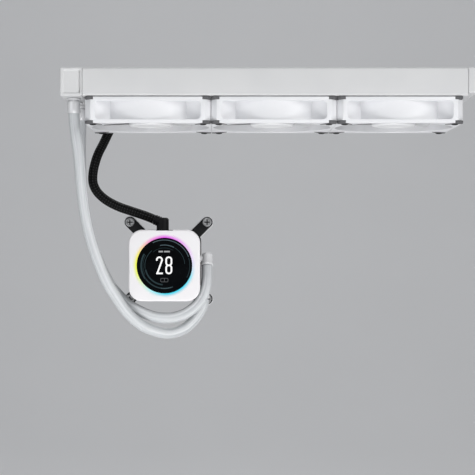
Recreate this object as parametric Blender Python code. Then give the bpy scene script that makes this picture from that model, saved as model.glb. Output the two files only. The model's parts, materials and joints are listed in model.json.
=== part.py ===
"""A sealed liquid cooling loop for a computer's processor: a long radiator with three fans under it,
two hoses, and a square pump head with a round screen.

The origin is the centre of the radiator's top face, which is fastened under a case's top rail.
+X runs along the radiator away from the tank that the hoses leave, -Y is the front and +Z is up.
"""

import math

import bmesh
import bpy
from mathutils import Matrix, Vector

# Clearance between pieces that touch on the real object.
GAP = 0.0003

# Radiator.
RADIATOR_WIDTH = 0.120
RADIATOR_HEIGHT = 0.027
HOSE_TANK_START = -0.199
HOSE_TANK_END = -0.178
FAR_TANK_START = 0.1885
FAR_TANK_END = 0.1985
FAR_TANK_HEIGHT = 0.0242
TANK_WALL = 0.002
TANK_ROUNDING = 0.0022
TANK_PANEL_LENGTH = 0.0165
TANK_PANEL_HEIGHT = 0.0205
TANK_PANEL_DEPTH = 0.0008
PLATE_THICKNESS = 0.0012
FLANGE_WIDTH = 0.013
CORE_TUBES = 12
TUBE_THICKNESS = 0.002
TUBE_HEIGHT = 0.017
FIN_HEIGHT = 0.015
HEADER_THICKNESS = 0.002
SCREW_HOLE_RADIUS = 0.0017

# Hoses and the ports under the hose tank.
HOSE_DIAMETER = 0.0108
PORT_X = -0.188
PORT_Y = 0.038
PORT_FLANGE_RADIUS = 0.0065
PORT_FLANGE_THICKNESS = 0.0012
PORT_STUB_RADIUS = 0.0049
PORT_STUB_END = -0.0347
PORT_SPIGOT_RADIUS = 0.0043
PORT_BORE_RADIUS = 0.0032
SPIGOT_LENGTH = 0.0045
COLLAR_TOP = -0.0303
COLLAR_BOTTOM = -0.0419
COLLAR_RADIUS = 0.00635
COLLAR_BORE_RADIUS = 0.00568
COLLAR_ROUNDING = 0.0006
PLUG_RADIUS = 0.0052
PLUG_SPIGOT_LENGTH = 0.003
PLUG_HEAD_THICKNESS = 0.0014
PLUG_SOCKET_RADIUS = 0.002
PLUG_SOCKET_DEPTH = 0.0019

# Fans.
FAN_CENTRES_X = (-0.1158, 0.0042, 0.1242)
FAN_WIDTH = 0.1196
FAN_DEPTH = 0.025
FAN_BORE_RADIUS = 0.0575
DUCT_RADIUS = 0.0592
RECESS_HALF_LENGTH = 0.0502
RECESS_HALF_HEIGHT = 0.009
RECESS_TURN = 0.0366
RECESS_END_DEPTH = 0.058
FAN_SCREW_SPACING = 0.105
PAD_SIDE = 0.0078
PAD_INNER = 0.044
PAD_SEAT_DEPTH = 0.0026
PAD_PROUD = 0.0005
PAD_SLEEVE_RADIUS = 0.003
PAD_HOLE_RADIUS = 0.0022
PAD_BEVEL = 0.002
FAN_CORNER = 0.002
MOTOR_MOUNT_RADIUS = 0.021
STRUT_HEIGHT = 0.0035
STRUT_WIDTH = 0.004
STRUTS = 4
STRUT_TURN = 20
HUB_RADIUS = 0.0215
HUB_WALL = 0.0015
HUB_LOW = -0.0110
HUB_HIGH = 0.0078
FAN_SHAFT_RADIUS = 0.0015
BLADES = 7
BLADE_TIP_RADIUS = 0.0561
BLADE_THICKNESS = 0.0015
BLADE_HIGH = 0.0068
BLADE_LOW = -0.0075
BLADE_BELLY = 1.25
# Sections of a blade from its root to its tip: radius, angle where it starts and angle it spans.
BLADE_SECTIONS = ((HUB_RADIUS - HUB_WALL / 2, 0.0, 33.0), (0.039, 5.0, 38.0), (BLADE_TIP_RADIUS, 15.0, 34.0))

# Pump head. Its depth runs along +Y, from the cap's face to the cold plate's face.
PUMP_X = -0.1023
PUMP_Z = -0.1887
CAP_WIDTH = 0.071
CAP_CORNER = 0.0135
CAP_FRONT = 0.003
CAP_BACK = 0.014
CAP_WALL = 0.0018
CAP_EDGE = 0.0015
HOUSING_WIDTH = 0.064
HOUSING_CORNER = 0.010
HOUSING_FRONT = 0.0143
HOUSING_BACK = 0.050
HOUSING_FLANGE_WIDTH = 0.070
HOUSING_FLANGE_FRONT = 0.0476
SCREEN_RADIUS = 0.0275
SCREEN_PROUD = 0.0002
GLASS_THICKNESS = 0.002
GLASS_BEVEL = 0.0004
PANEL_RADIUS = 0.0265
PANEL_THICKNESS = 0.0024
LIGHT_RING_OUTER = 0.0306
LIGHT_RING_DEPTH = 0.004
BOARD_HALF_WIDTH = 0.024
BOARD_FRONT = 0.0115
BOARD_BACK = 0.0131
PLATE_WIDTH = 0.056
PLATE_CORNER = 0.004
PLATE_FRONT = 0.0506
PLATE_BACK = 0.060
SEAL_OUTER_WIDTH = 0.052
SEAL_INNER_WIDTH = 0.046
SEAL_INNER_CORNER = 0.002
SEAL_CLEARANCE = 0.0001
FIN_BLOCK_WIDTH = 0.030
FIN_BLOCK_FRONT = 0.0465
CHAMBER_WIDTH = 0.044
CHAMBER_FRONT = 0.041
MOTOR_ROOM_BACK = 0.026
COILS_FRONT = 0.0165
COILS_BACK = 0.0257
STATOR_INNER = 0.0125
STATOR_OUTER = 0.0235
ROTOR_ROOM_FRONT = 0.0185
ROTOR_ROOM_BACK = 0.030
ROTOR_RADIUS = 0.0095
ROTOR_FRONT = 0.0195
ROTOR_CLEARANCE = 0.001
IMPELLER_ROOM_FRONT = 0.029
IMPELLER_RADIUS = 0.0145
IMPELLER_CLEARANCE = 0.0015
DISC_FRONT = 0.0315
DISC_BACK = 0.034
IMPELLER_VANES = 6
VANE_INNER = 0.0018
VANE_OUTER = 0.0137
VANE_THICKNESS = 0.001
VANE_BACK = 0.038
NOSE_RADIUS = 0.0025
NOSE_BACK = 0.0395
BRACKET_WIDTH = 0.073
BRACKET_CORNER = 0.012
ARM_ROOT_INSET = 0.006
BRACKET_FRONT = 0.0443
BRACKET_BACK = 0.0473
BOSS_RADIUS = 0.0062
THUMB_SCREW_LEFT = -0.0364
THUMB_SCREW_RIGHT = 0.0420
THUMB_SCREW_UP = 0.0438
THUMB_SCREW_DOWN = -0.0342
THUMB_HEAD_RADIUS = 0.0046
THUMB_HEAD_FRONT = 0.0390
THUMB_EDGE = 0.0006
SLOT_HALF_LENGTH = 0.0026
SLOT_HALF_WIDTH = 0.0005
SLOT_DEPTH = 0.0014
THUMB_SHANK_RADIUS = 0.0018
THUMB_SHANK_END = 0.060

# Swivelling elbows on the pump head's +X side.
ELBOW_Y = 0.0325
UPPER_ELBOW_X = -0.0603
UPPER_ELBOW_Z = -0.1822
LOWER_ELBOW_X = -0.0637
LOWER_ELBOW_Z = -0.2145
UPPER_ELBOW_SWING = math.radians(-24.2)
LOWER_ELBOW_SWING = 0.0
ELBOW_TOP = 0.0057
ELBOW_ROUNDING = 0.0016
ELBOW_RADIUS = 0.0056
ELBOW_RIM_RADIUS = 0.0062
ELBOW_RIM_START = -0.0048
ELBOW_RIM_END = -0.0075
ELBOW_RIM_EDGE = 0.0008
ELBOW_NECK_RADIUS = 0.0033
ELBOW_SPIGOT_RADIUS = 0.0042
ELBOW_SPIGOT_LENGTH = 0.0065
ELBOW_HOLE_RADIUS = 0.0045
ELBOW_SPIGOT_INSET = 0.005
ELBOW_HOLE_DEPTH = 0.006

# Pump cable: a limp braided sleeve, its angled outlet, and the hank that is strapped behind the radiator.
CABLE_DIAMETER = 0.0094
GLAND_X = -0.1053
GLAND_Y = 0.038
GLAND_Z = -0.1455
GLAND_RADIUS = 0.0062
GLAND_TOP = 0.0052
GLAND_EDGE = 0.002
GLAND_OUTLET_RADIUS = 0.0051
GLAND_OUTLET_LENGTH = 0.009
GLAND_OUTLET_RISE = math.radians(21.7)
HANK_Y = 0.0661
HANK_Z = -0.027
HANK_START_X = -0.132
HANK_BULB_X = 0.001
HANK_BULB_RADIUS = 0.0237
HANK_THICKNESS = 0.0098
HANK_LEAD_X = -0.035
HANK_OPENING = 45.4
HANK_FOLD_STEPS = 12
TIE_X = -0.070
TIE_WIDTH = 0.014
TIE_THICKNESS = 0.0006
CABLE_PLUG_LENGTH = 0.024
CABLE_PLUG_HEIGHT = 0.009
CABLE_PLUG_THICKNESS = 0.008
CABLE_PLUG_LATCH_HEIGHT = 0.001
CABLE_PLUG_LATCH_HALF_WIDTH = 0.0015
CABLE_PLUG_LATCH_INSET = 0.005
CONTACT_SPACING = 0.0026
CONTACT_HALF_WIDTH = 0.0009
CONTACT_DEPTH = 0.006

# Sides of round shapes.
HEXAGON = 6
COARSE = 8
SMALL = 12
MEDIUM = 16
FINE = 32

# Routes through which the hoses and the cable run, from their first end to their last.
FRONT_HOSE_ROUTE = (
    (-0.1880, -0.0380, -0.0350), (-0.1876, -0.0379, -0.0480), (-0.1861, -0.0367, -0.0630),
    (-0.1841, -0.0345, -0.0788), (-0.1826, -0.0322, -0.0970), (-0.1813, -0.0292, -0.1142),
    (-0.1788, -0.0248, -0.1364), (-0.1745, -0.0198, -0.1586), (-0.1679, -0.0142, -0.1811),
    (-0.1591, -0.0080, -0.2038), (-0.1509, -0.0030, -0.2180), (-0.1408, 0.0030, -0.2333),
    (-0.1288, 0.0090, -0.2453), (-0.1169, 0.0145, -0.2526), (-0.0998, 0.0220, -0.2568),
    (-0.0850, 0.0260, -0.2532), (-0.0750, 0.0290, -0.2457), (-0.0679, 0.0313, -0.2363),
    (-0.0644, 0.0323, -0.2290), (-0.0637, 0.0325, -0.2227),
)
REAR_HOSE_ROUTE = (
    (-0.1880, 0.0380, -0.0350), (-0.1882, 0.0379, -0.0480), (-0.1884, 0.0370, -0.0740),
    (-0.1876, 0.0350, -0.1020), (-0.1855, 0.0325, -0.1250), (-0.1812, 0.0300, -0.1480),
    (-0.1750, 0.0268, -0.1700), (-0.1672, 0.0230, -0.1890), (-0.1578, 0.0200, -0.2066),
    (-0.1479, 0.0182, -0.2190), (-0.1369, 0.0172, -0.2290), (-0.1170, 0.0178, -0.2388),
    (-0.1000, 0.0182, -0.2413), (-0.0848, 0.0188, -0.2382), (-0.0732, 0.0193, -0.2308),
    (-0.0654, 0.0197, -0.2215), (-0.0617, 0.0206, -0.2120), (-0.0605, 0.0231, -0.2035),
    (-0.0603, 0.0261, -0.1964), (-0.0603, 0.0291, -0.1897),
)
CABLE_ROUTE = (
    (-0.1143, 0.0380, -0.1419), (-0.1236, 0.0381, -0.1382), (-0.1385, 0.0405, -0.1332),
    (-0.1511, 0.0435, -0.1287), (-0.1633, 0.0450, -0.1222), (-0.1722, 0.0458, -0.1140),
    (-0.1766, 0.0462, -0.1045), (-0.1765, 0.0466, -0.0935), (-0.1740, 0.0480, -0.0820),
    (-0.1712, 0.0515, -0.0735), (-0.1683, 0.0575, -0.0665), (-0.1655, 0.0632, -0.0595),
    (-0.1620, 0.0658, -0.0515), (-0.1570, 0.0661, -0.0430), (-0.1500, 0.0661, -0.0362),
    (-0.1430, 0.0661, -0.0322), (-0.1375, 0.0661, -0.0317), (-0.1325, 0.0661, -0.0317),
)
HOSE_POINTS = 30
CABLE_POINTS = 18
# A point this far from each end keeps the end face square to the route.
END_LEAD = 0.002


# ---------------------------------------------------------------- building blocks


def clear_scene():
    """Removes every object, so that the script starts from nothing."""
    for old in list(bpy.data.objects):
        bpy.data.objects.remove(old, do_unlink=True)


def material(name, colour, roughness, metallic=0.0):
    """A plain Principled material."""
    made = bpy.data.materials.new(name)
    made.use_nodes = True
    shader = made.node_tree.nodes["Principled BSDF"]
    shader.inputs["Base Color"].default_value = (*colour, 1.0)
    shader.inputs["Roughness"].default_value = roughness
    shader.inputs["Metallic"].default_value = metallic
    return made


def mesh_of(shape):
    """The finished mesh of a closed bmesh, with its faces turned outwards."""
    bmesh.ops.recalc_face_normals(shape, faces=shape.faces)
    mesh = bpy.data.meshes.new("shape")
    shape.to_mesh(mesh)
    shape.free()
    return mesh


def arc(radius, start, end, steps, centre=(0.0, 0.0)):
    """Points on an arc, both ends included, with the angles in degrees."""
    points = []
    for k in range(steps + 1):
        angle = math.radians(start + (end - start) * k / steps)
        points.append((centre[0] + radius * math.cos(angle), centre[1] + radius * math.sin(angle)))
    return points


def circle(radius, steps, centre=(0.0, 0.0)):
    """The corners of a regular polygon."""
    return arc(radius, 0, 360, steps, centre)[:-1]


def rectangle(low_u, high_u, low_v, high_v):
    """A sharp rectangle's corners."""
    return [(low_u, low_v), (high_u, low_v), (high_u, high_v), (low_u, high_v)]


def rounded_square(width, radius, steps=3):
    """A square outline about the origin with round corners."""
    inner = width / 2 - radius
    outline = []
    for k, (u, v) in enumerate(((inner, inner), (-inner, inner), (-inner, -inner), (inner, -inner))):
        outline += arc(radius, 90 * k, 90 * k + 90, steps, (u, v))
    return outline


def prism(outline, low, high, axis="Z"):
    """An outline drawn in the plane across the axis, extruded from low to high along it."""
    shape = bmesh.new()
    rings = []
    for level in (low, high):
        if axis == "X":
            places = [(level, u, v) for u, v in outline]
        elif axis == "Y":
            places = [(u, level, v) for u, v in outline]
        else:
            places = [(u, v, level) for u, v in outline]
        rings.append([shape.verts.new(place) for place in places])
    for ring in rings:
        shape.faces.new(ring)
    for k in range(len(outline)):
        after = (k + 1) % len(outline)
        shape.faces.new((rings[0][k], rings[0][after], rings[1][after], rings[1][k]))
    return mesh_of(shape)


def turned(profile, steps, axis="Z"):
    """A loop of (radius, place along the axis) points turned into a solid round that axis."""
    shape = bmesh.new()
    rings = []
    for radius, along in profile:
        if radius == 0:
            rings.append([shape.verts.new((0.0, 0.0, along))])
        else:
            rings.append([shape.verts.new((u, v, along)) for u, v in circle(radius, steps)])
    for first, second in zip(rings, rings[1:] + rings[:1]):
        for k in range(steps):
            after = k + 1
            corners = (
                first[k % len(first)],
                first[after % len(first)],
                second[after % len(second)],
                second[k % len(second)],
            )
            corners = list(dict.fromkeys(corners))
            if len(corners) > 2:
                shape.faces.new(corners)
    if axis == "Y":
        shape.transform(Matrix.Rotation(math.radians(-90), 4, "X"))
    elif axis == "X":
        shape.transform(Matrix.Rotation(math.radians(90), 4, "Y"))
    return mesh_of(shape)


def moved(mesh, place=(0.0, 0.0, 0.0), turn=0.0, axis="Z"):
    """A copy of a mesh, turned about an axis through the origin and then shifted."""
    copy = mesh.copy()
    copy.transform(Matrix.Translation(place) @ Matrix.Rotation(turn, 4, axis))
    return copy


def combined(mesh, added=(), cut=()):
    """The mesh with others joined on and then others cut away."""
    body = bpy.data.objects.new("body", mesh)
    helpers = [body]
    for operation, others in (("UNION", added), ("DIFFERENCE", cut)):
        for other in others:
            helper = bpy.data.objects.new("helper", other)
            helpers.append(helper)
            boolean = body.modifiers.new(operation, "BOOLEAN")
            boolean.operation = operation
            boolean.solver = "EXACT"
            boolean.object = helper
    for helper in helpers:
        bpy.context.scene.collection.objects.link(helper)
    bpy.context.view_layer.update()
    graph = bpy.context.evaluated_depsgraph_get()
    result = bpy.data.meshes.new_from_object(body.evaluated_get(graph))
    for helper in helpers:
        bpy.data.objects.remove(helper, do_unlink=True)
    return result


def piece(name, mesh, look, place=(0.0, 0.0, 0.0), turn=(0.0, 0.0, 0.0), parent=None, smooth=True):
    """One named sub-part, placed in its parent's frame."""
    obj = bpy.data.objects.new(name, mesh)
    bpy.context.scene.collection.objects.link(obj)
    if smooth:
        mesh.shade_smooth()
        mesh.set_sharp_from_angle(angle=math.radians(35))
    mesh.materials.clear()
    mesh.materials.append(look)
    obj.location = place
    obj.rotation_euler = turn
    obj.parent = parent
    return obj


def centre_point(name, place):
    """An empty that pieces of one assembly are placed from."""
    empty = bpy.data.objects.new(name, None)
    bpy.context.scene.collection.objects.link(empty)
    empty.location = place
    return empty


def smooth_route(route, count):
    """Points along one smooth curve through a route's points, evenly spaced between two near its ends."""
    places = [Vector(point) for point in route]
    ends = [2 * places[0] - places[1], *places, 2 * places[-1] - places[-2]]
    fine = []
    steps = 12
    for a, b, c, d in zip(ends, ends[1:], ends[2:], ends[3:]):
        for k in range(steps):
            t = k / steps
            bend = (2 * a - 5 * b + 4 * c - d) * t**2
            twist = (3 * b - a - 3 * c + d) * t**3
            fine.append((2 * b + (c - a) * t + bend + twist) / 2)
    fine.append(places[-1])
    travelled = [0.0]
    for first, second in zip(fine, fine[1:]):
        travelled.append(travelled[-1] + (second - first).length)
    chosen = []
    index = 0
    even = [END_LEAD + (travelled[-1] - 2 * END_LEAD) * k / (count - 3) for k in range(count - 2)]
    for wanted in (0.0, *even, travelled[-1]):
        while index < len(fine) - 2 and travelled[index + 1] < wanted:
            index += 1
        share = (wanted - travelled[index]) / (travelled[index + 1] - travelled[index])
        chosen.append(fine[index].lerp(fine[index + 1], share))
    return chosen


def tube(name, route, count, diameter, look):
    """A cord's solid: a round tube along a route, with both ends closed."""
    curve = bpy.data.curves.new(name, "CURVE")
    curve.dimensions = "3D"
    spline = curve.splines.new("POLY")
    points = smooth_route(route, count)
    spline.points.add(len(points) - 1)
    for target, point in zip(spline.points, points):
        target.co = (*point, 1.0)
    curve.bevel_depth = diameter / 2
    curve.bevel_resolution = 2
    curve.use_fill_caps = True
    curve.materials.append(look)
    obj = bpy.data.objects.new(name, curve)
    bpy.context.scene.collection.objects.link(obj)
    return obj


# ---------------------------------------------------------------- radiator


def tank(start, end, height, open_side, cuts):
    """A tank with rounded outer edges that is open towards the core."""
    outer = bmesh.new()
    bmesh.ops.create_cube(outer, size=1.0)
    size = Vector((end - start, RADIATOR_WIDTH, height))
    middle = Vector(((start + end) / 2, 0.0, -height / 2))
    outer.transform(Matrix.Translation(middle) @ Matrix.Diagonal((*size, 1.0)))
    closed_x = start if open_side > 0 else end
    edges = [e for e in outer.edges if all(abs(v.co.x - closed_x) < GAP for v in e.verts)]
    bmesh.ops.bevel(outer, geom=edges, offset=TANK_ROUNDING, segments=2, profile=0.5, affect="EDGES")
    low_x = start + TANK_WALL if open_side > 0 else start - TANK_WALL
    high_x = end + TANK_WALL if open_side > 0 else end - TANK_WALL
    half_width = RADIATOR_WIDTH / 2 - TANK_WALL
    hollow = prism(rectangle(-half_width, half_width, TANK_WALL - height, -TANK_WALL), low_x, high_x, "X")
    return combined(mesh_of(outer), cut=[hollow, *cuts])


def radiator_core():
    """Flat tubes with fins between them, brazed to a header plate at each end."""
    half_width = RADIATOR_WIDTH / 2 - PLATE_THICKNESS - GAP
    bank = (2 * half_width - CORE_TUBES * TUBE_THICKNESS) / (CORE_TUBES + 1)
    upper = []
    y = -half_width
    for k in range(2 * CORE_TUBES + 1):
        is_tube = k % 2 == 1
        height = TUBE_HEIGHT / 2 if is_tube else FIN_HEIGHT / 2
        step = TUBE_THICKNESS if is_tube else bank
        upper += [(y, height), (y + step, height)]
        y += step
    middle_z = -RADIATOR_HEIGHT / 2
    lower = [(u, -v) for u, v in reversed(upper)]
    outline = [(u, v + middle_z) for u, v in upper + lower]
    block = prism(outline, HOSE_TANK_END, FAR_TANK_START, "X")
    headers = []
    inner = RADIATOR_WIDTH / 2 - TANK_WALL - GAP
    for first, last, height in (
        (HOSE_TANK_END - HEADER_THICKNESS, HOSE_TANK_END + HEADER_THICKNESS, RADIATOR_HEIGHT),
        (FAR_TANK_START - HEADER_THICKNESS, FAR_TANK_START + HEADER_THICKNESS, FAR_TANK_HEIGHT),
    ):
        low = TANK_WALL + GAP - height
        high = -TANK_WALL - GAP
        headers.append(prism(rectangle(-inner, inner, low, high), first, last, "X"))
    return combined(block, added=headers)


def side_plate(side):
    """A channel with its web along one long side and a drilled flange above and below the core."""
    outer = side * RADIATOR_WIDTH / 2
    web = side * (RADIATOR_WIDTH / 2 - PLATE_THICKNESS)
    lip = side * (RADIATOR_WIDTH / 2 - FLANGE_WIDTH)
    bottom = -RADIATOR_HEIGHT
    outline = [
        (outer, 0.0),
        (lip, 0.0),
        (lip, -PLATE_THICKNESS),
        (web, -PLATE_THICKNESS),
        (web, bottom + PLATE_THICKNESS),
        (lip, bottom + PLATE_THICKNESS),
        (lip, bottom),
        (outer, bottom),
    ]
    channel = prism(outline, HOSE_TANK_END + GAP, FAR_TANK_START - GAP, "X")
    inner_web = RADIATOR_WIDTH / 2 - PLATE_THICKNESS - GAP
    header_bite = prism(
        rectangle(-inner_web, inner_web, bottom + TANK_WALL, -TANK_WALL),
        HOSE_TANK_END - HEADER_THICKNESS,
        HOSE_TANK_END + HEADER_THICKNESS + GAP,
        "X",
    )
    holes = [header_bite]
    for fan_x in FAN_CENTRES_X:
        for end in (-1, 1):
            centre = (fan_x + end * FAN_SCREW_SPACING / 2, side * FAN_SCREW_SPACING / 2)
            holes.append(prism(circle(SCREW_HOLE_RADIUS, COARSE, centre), bottom - GAP, GAP))
    return combined(channel, cut=holes)


def port_fitting():
    """A port's stub, with the flange that seals it under the tank and a bore right through."""
    base = -RADIATOR_HEIGHT - GAP
    profile = [
        (PORT_BORE_RADIUS, base + SPIGOT_LENGTH),
        (PORT_SPIGOT_RADIUS, base + SPIGOT_LENGTH),
        (PORT_SPIGOT_RADIUS, base),
        (PORT_FLANGE_RADIUS, base),
        (PORT_FLANGE_RADIUS, base - PORT_FLANGE_THICKNESS),
        (PORT_STUB_RADIUS, base - PORT_FLANGE_THICKNESS),
        (PORT_STUB_RADIUS, PORT_STUB_END),
        (PORT_BORE_RADIUS, PORT_STUB_END),
    ]
    return turned(profile, MEDIUM)


def hose_collar():
    """The crimped sleeve round a hose's end."""
    profile = [
        (COLLAR_BORE_RADIUS, COLLAR_TOP),
        (COLLAR_RADIUS - COLLAR_ROUNDING, COLLAR_TOP),
        (COLLAR_RADIUS, COLLAR_TOP - COLLAR_ROUNDING),
        (COLLAR_RADIUS, COLLAR_BOTTOM),
        (COLLAR_BORE_RADIUS, COLLAR_BOTTOM),
    ]
    return turned(profile, MEDIUM)


def fill_plug():
    """The screwed plug that closes the tank's filling hole, with a hexagonal socket."""
    base = -RADIATOR_HEIGHT - GAP
    profile = [
        (0.0, base + PLUG_SPIGOT_LENGTH),
        (PORT_SPIGOT_RADIUS, base + PLUG_SPIGOT_LENGTH),
        (PORT_SPIGOT_RADIUS, base),
        (PLUG_RADIUS, base),
        (PLUG_RADIUS, base - PLUG_HEAD_THICKNESS),
        (0.0, base - PLUG_HEAD_THICKNESS),
    ]
    face = base - PLUG_HEAD_THICKNESS
    socket = prism(circle(PLUG_SOCKET_RADIUS, HEXAGON), face - GAP, face + PLUG_SOCKET_DEPTH)
    return combined(turned(profile, MEDIUM), cut=[socket])


def build_radiator(looks):
    """The radiator and what is screwed into its hose tank."""
    port_holes = []
    for y in (-PORT_Y, 0.0, PORT_Y):
        hole = circle(PORT_SPIGOT_RADIUS + GAP, MEDIUM, (PORT_X, y))
        port_holes.append(prism(hole, -RADIATOR_HEIGHT - TANK_WALL, -RADIATOR_HEIGHT + 2 * TANK_WALL))
    panel_z = -RADIATOR_HEIGHT / 2
    panel = prism(
        rectangle(
            PORT_X - TANK_PANEL_LENGTH / 2,
            PORT_X + TANK_PANEL_LENGTH / 2,
            panel_z - TANK_PANEL_HEIGHT / 2,
            panel_z + TANK_PANEL_HEIGHT / 2,
        ),
        -RADIATOR_WIDTH / 2 - TANK_WALL,
        -RADIATOR_WIDTH / 2 + TANK_PANEL_DEPTH,
        "Y",
    )
    hose_tank = tank(HOSE_TANK_START, HOSE_TANK_END, RADIATOR_HEIGHT, 1, [*port_holes, panel])
    piece("hose_end_tank", hose_tank, looks["white_metal"])
    piece("far_end_tank", tank(FAR_TANK_START, FAR_TANK_END, FAR_TANK_HEIGHT, -1, []), looks["white_metal"])
    piece("radiator_core", radiator_core(), looks["white_metal"], smooth=False)
    piece("front_side_plate", side_plate(-1), looks["white_metal"], smooth=False)
    piece("rear_side_plate", side_plate(1), looks["white_metal"], smooth=False)
    piece("fill_plug", fill_plug(), looks["black_plastic"], (PORT_X, 0.0, 0.0))
    for name, y in (("front", -PORT_Y), ("rear", PORT_Y)):
        piece(f"{name}_port_fitting", port_fitting(), looks["nickel"], (PORT_X, y, 0.0))
        piece(f"{name}_hose_collar", hose_collar(), looks["nickel"], (PORT_X, y, 0.0))


# ---------------------------------------------------------------- fans


def seat_outline():
    """The pocket for a pad in a frame's corner, where X and Y are positive."""
    side = FAN_WIDTH / 2 - PAD_SIDE
    beyond = FAN_WIDTH / 2 + GAP
    return [(PAD_INNER, PAD_INNER), (beyond, side), (beyond, beyond), (side, beyond)]


def pad_outline():
    """A pad with its outer corner cut off, a little smaller than its seat."""
    inner = PAD_INNER + GAP
    side = FAN_WIDTH / 2 - PAD_SIDE + GAP
    edge = FAN_WIDTH / 2 - GAP
    return [(inner, inner), (edge, side), (edge, edge - PAD_BEVEL), (edge - PAD_BEVEL, edge), (side, edge)]


def recess_outline():
    """The pocket in one long side of a fan frame, between the duct's wall and the corners."""
    angle = math.degrees(math.acos(RECESS_TURN / DUCT_RADIUS))
    outside = FAN_WIDTH / 2 + GAP
    return [
        (-RECESS_HALF_LENGTH, -outside),
        (-RECESS_HALF_LENGTH, -RECESS_END_DEPTH),
        *arc(DUCT_RADIUS, 180 + angle, 360 - angle, 6),
        (RECESS_HALF_LENGTH, -RECESS_END_DEPTH),
        (RECESS_HALF_LENGTH, -outside),
    ]


def fan_frame():
    """A fan's square frame with its round duct, side pockets, pad seats, struts and motor mount."""
    half = FAN_DEPTH / 2
    block = prism(rounded_square(FAN_WIDTH, FAN_CORNER, 1), -half, half)
    cuts = [prism(circle(FAN_BORE_RADIUS, FINE), -FAN_DEPTH, FAN_DEPTH)]
    pocket = prism(recess_outline(), -RECESS_HALF_HEIGHT, RECESS_HALF_HEIGHT)
    screw = FAN_SCREW_SPACING / 2
    for k in range(4):
        turn = math.radians(90 * k)
        cuts.append(moved(pocket, turn=turn))
        for low, high in ((half - PAD_SEAT_DEPTH, half + GAP), (-half - GAP, PAD_SEAT_DEPTH - half)):
            cuts.append(moved(prism(seat_outline(), low, high), turn=turn))
        hole = prism(circle(PAD_SLEEVE_RADIUS + GAP, COARSE, (screw, screw)), -FAN_DEPTH, FAN_DEPTH)
        cuts.append(moved(hole, turn=turn))
    frame = combined(block, cut=cuts)
    spider = [prism(circle(MOTOR_MOUNT_RADIUS, MEDIUM), half - STRUT_HEIGHT, half)]
    reach = (FAN_BORE_RADIUS + DUCT_RADIUS) / 2
    arm = prism(
        rectangle(MOTOR_MOUNT_RADIUS - STRUT_WIDTH, reach, -STRUT_WIDTH / 2, STRUT_WIDTH / 2),
        half - STRUT_HEIGHT,
        half,
    )
    for k in range(STRUTS):
        spider.append(moved(arm, turn=math.tau * k / STRUTS + math.radians(STRUT_TURN)))
    return combined(frame, added=spider)


def fan_blade():
    """One swept blade as a closed sheet, from inside the hub's wall to the tip."""
    shape = bmesh.new()
    stations = []
    for radius, start, span in BLADE_SECTIONS:
        row = []
        for k in range(3):
            share = k / 2
            angle = math.radians(start + span * share)
            level = BLADE_HIGH + (BLADE_LOW - BLADE_HIGH) * share**BLADE_BELLY
            x, y = radius * math.cos(angle), radius * math.sin(angle)
            for offset in (BLADE_THICKNESS / 2, -BLADE_THICKNESS / 2):
                row.append(shape.verts.new((x, y, level + offset)))
        stations.append(row)
    for inner, outer in zip(stations, stations[1:]):
        for k in range(2):
            for side in (0, 1):
                near, far = 2 * k + side, 2 * k + 2 + side
                shape.faces.new((inner[near], inner[far], outer[far]))
                shape.faces.new((inner[near], outer[far], outer[near]))
        for first in (0, 4):
            shape.faces.new((inner[first], inner[first + 1], outer[first + 1], outer[first]))
    for row in (stations[0], stations[-1]):
        for k in range(2):
            first = 2 * k
            shape.faces.new((row[first], row[first + 2], row[first + 3], row[first + 1]))
    return mesh_of(shape)


def fan_rotor():
    """A fan's hub cup with its shaft and blades."""
    floor = HUB_LOW + HUB_WALL
    profile = [
        (0.0, HUB_LOW),
        (HUB_RADIUS - HUB_WALL, HUB_LOW),
        (HUB_RADIUS, floor),
        (HUB_RADIUS, HUB_HIGH),
        (HUB_RADIUS - HUB_WALL, HUB_HIGH),
        (HUB_RADIUS - HUB_WALL, floor),
        (FAN_SHAFT_RADIUS, floor),
        (FAN_SHAFT_RADIUS, HUB_HIGH),
        (0.0, HUB_HIGH),
    ]
    blades = [moved(fan_blade(), turn=math.tau * k / BLADES) for k in range(BLADES)]
    return combined(turned(profile, MEDIUM), added=blades)


def fan_stator():
    """The fan motor's fixed ring of coils, with the bearing bore that the shaft turns in."""
    low = HUB_LOW + 2 * HUB_WALL
    high = FAN_DEPTH / 2 - STRUT_HEIGHT - GAP
    bore = FAN_SHAFT_RADIUS + GAP
    rim = HUB_RADIUS - 2 * HUB_WALL
    return turned([(bore, low), (rim, low), (rim, high), (bore, high)], COARSE)


def corner_pad():
    """A rubber damper: a pad above and below the frame's corner, joined by the sleeve round the screw."""
    half = FAN_DEPTH / 2
    seat = half - PAD_SEAT_DEPTH + GAP
    screw = FAN_SCREW_SPACING / 2
    top = prism(pad_outline(), seat, half + PAD_PROUD)
    bottom = prism(pad_outline(), -half - PAD_PROUD, -seat)
    sleeve = prism(circle(PAD_SLEEVE_RADIUS, COARSE, (screw, screw)), -seat - GAP, seat + GAP)
    hole = prism(circle(PAD_HOLE_RADIUS, HEXAGON, (screw, screw)), -FAN_DEPTH, FAN_DEPTH)
    return combined(top, added=[sleeve, bottom], cut=[hole])


def build_fans(looks):
    """Three fans in a row, each with its frame, motor, rotor and four corner dampers."""
    frame = fan_frame()
    rotor = fan_rotor()
    stator = fan_stator()
    pad = corner_pad()
    level = -RADIATOR_HEIGHT - GAP - PAD_PROUD - FAN_DEPTH / 2
    corners = ("rear_right", "rear_left", "front_left", "front_right")
    for number, fan_x in enumerate(FAN_CENTRES_X, start=1):
        hub = centre_point(f"fan_{number}_axis", (fan_x, 0.0, level))
        piece(f"fan_{number}_frame", frame, looks["white_plastic"], parent=hub)
        piece(f"fan_{number}_stator", stator, looks["copper"], parent=hub)
        piece(f"fan_{number}_rotor", rotor, looks["white_plastic"], parent=hub)
        for k, corner in enumerate(corners):
            turn = (0.0, 0.0, math.radians(90 * k))
            piece(f"fan_{number}_{corner}_pad", pad, looks["grey_rubber"], turn=turn, parent=hub)


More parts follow.
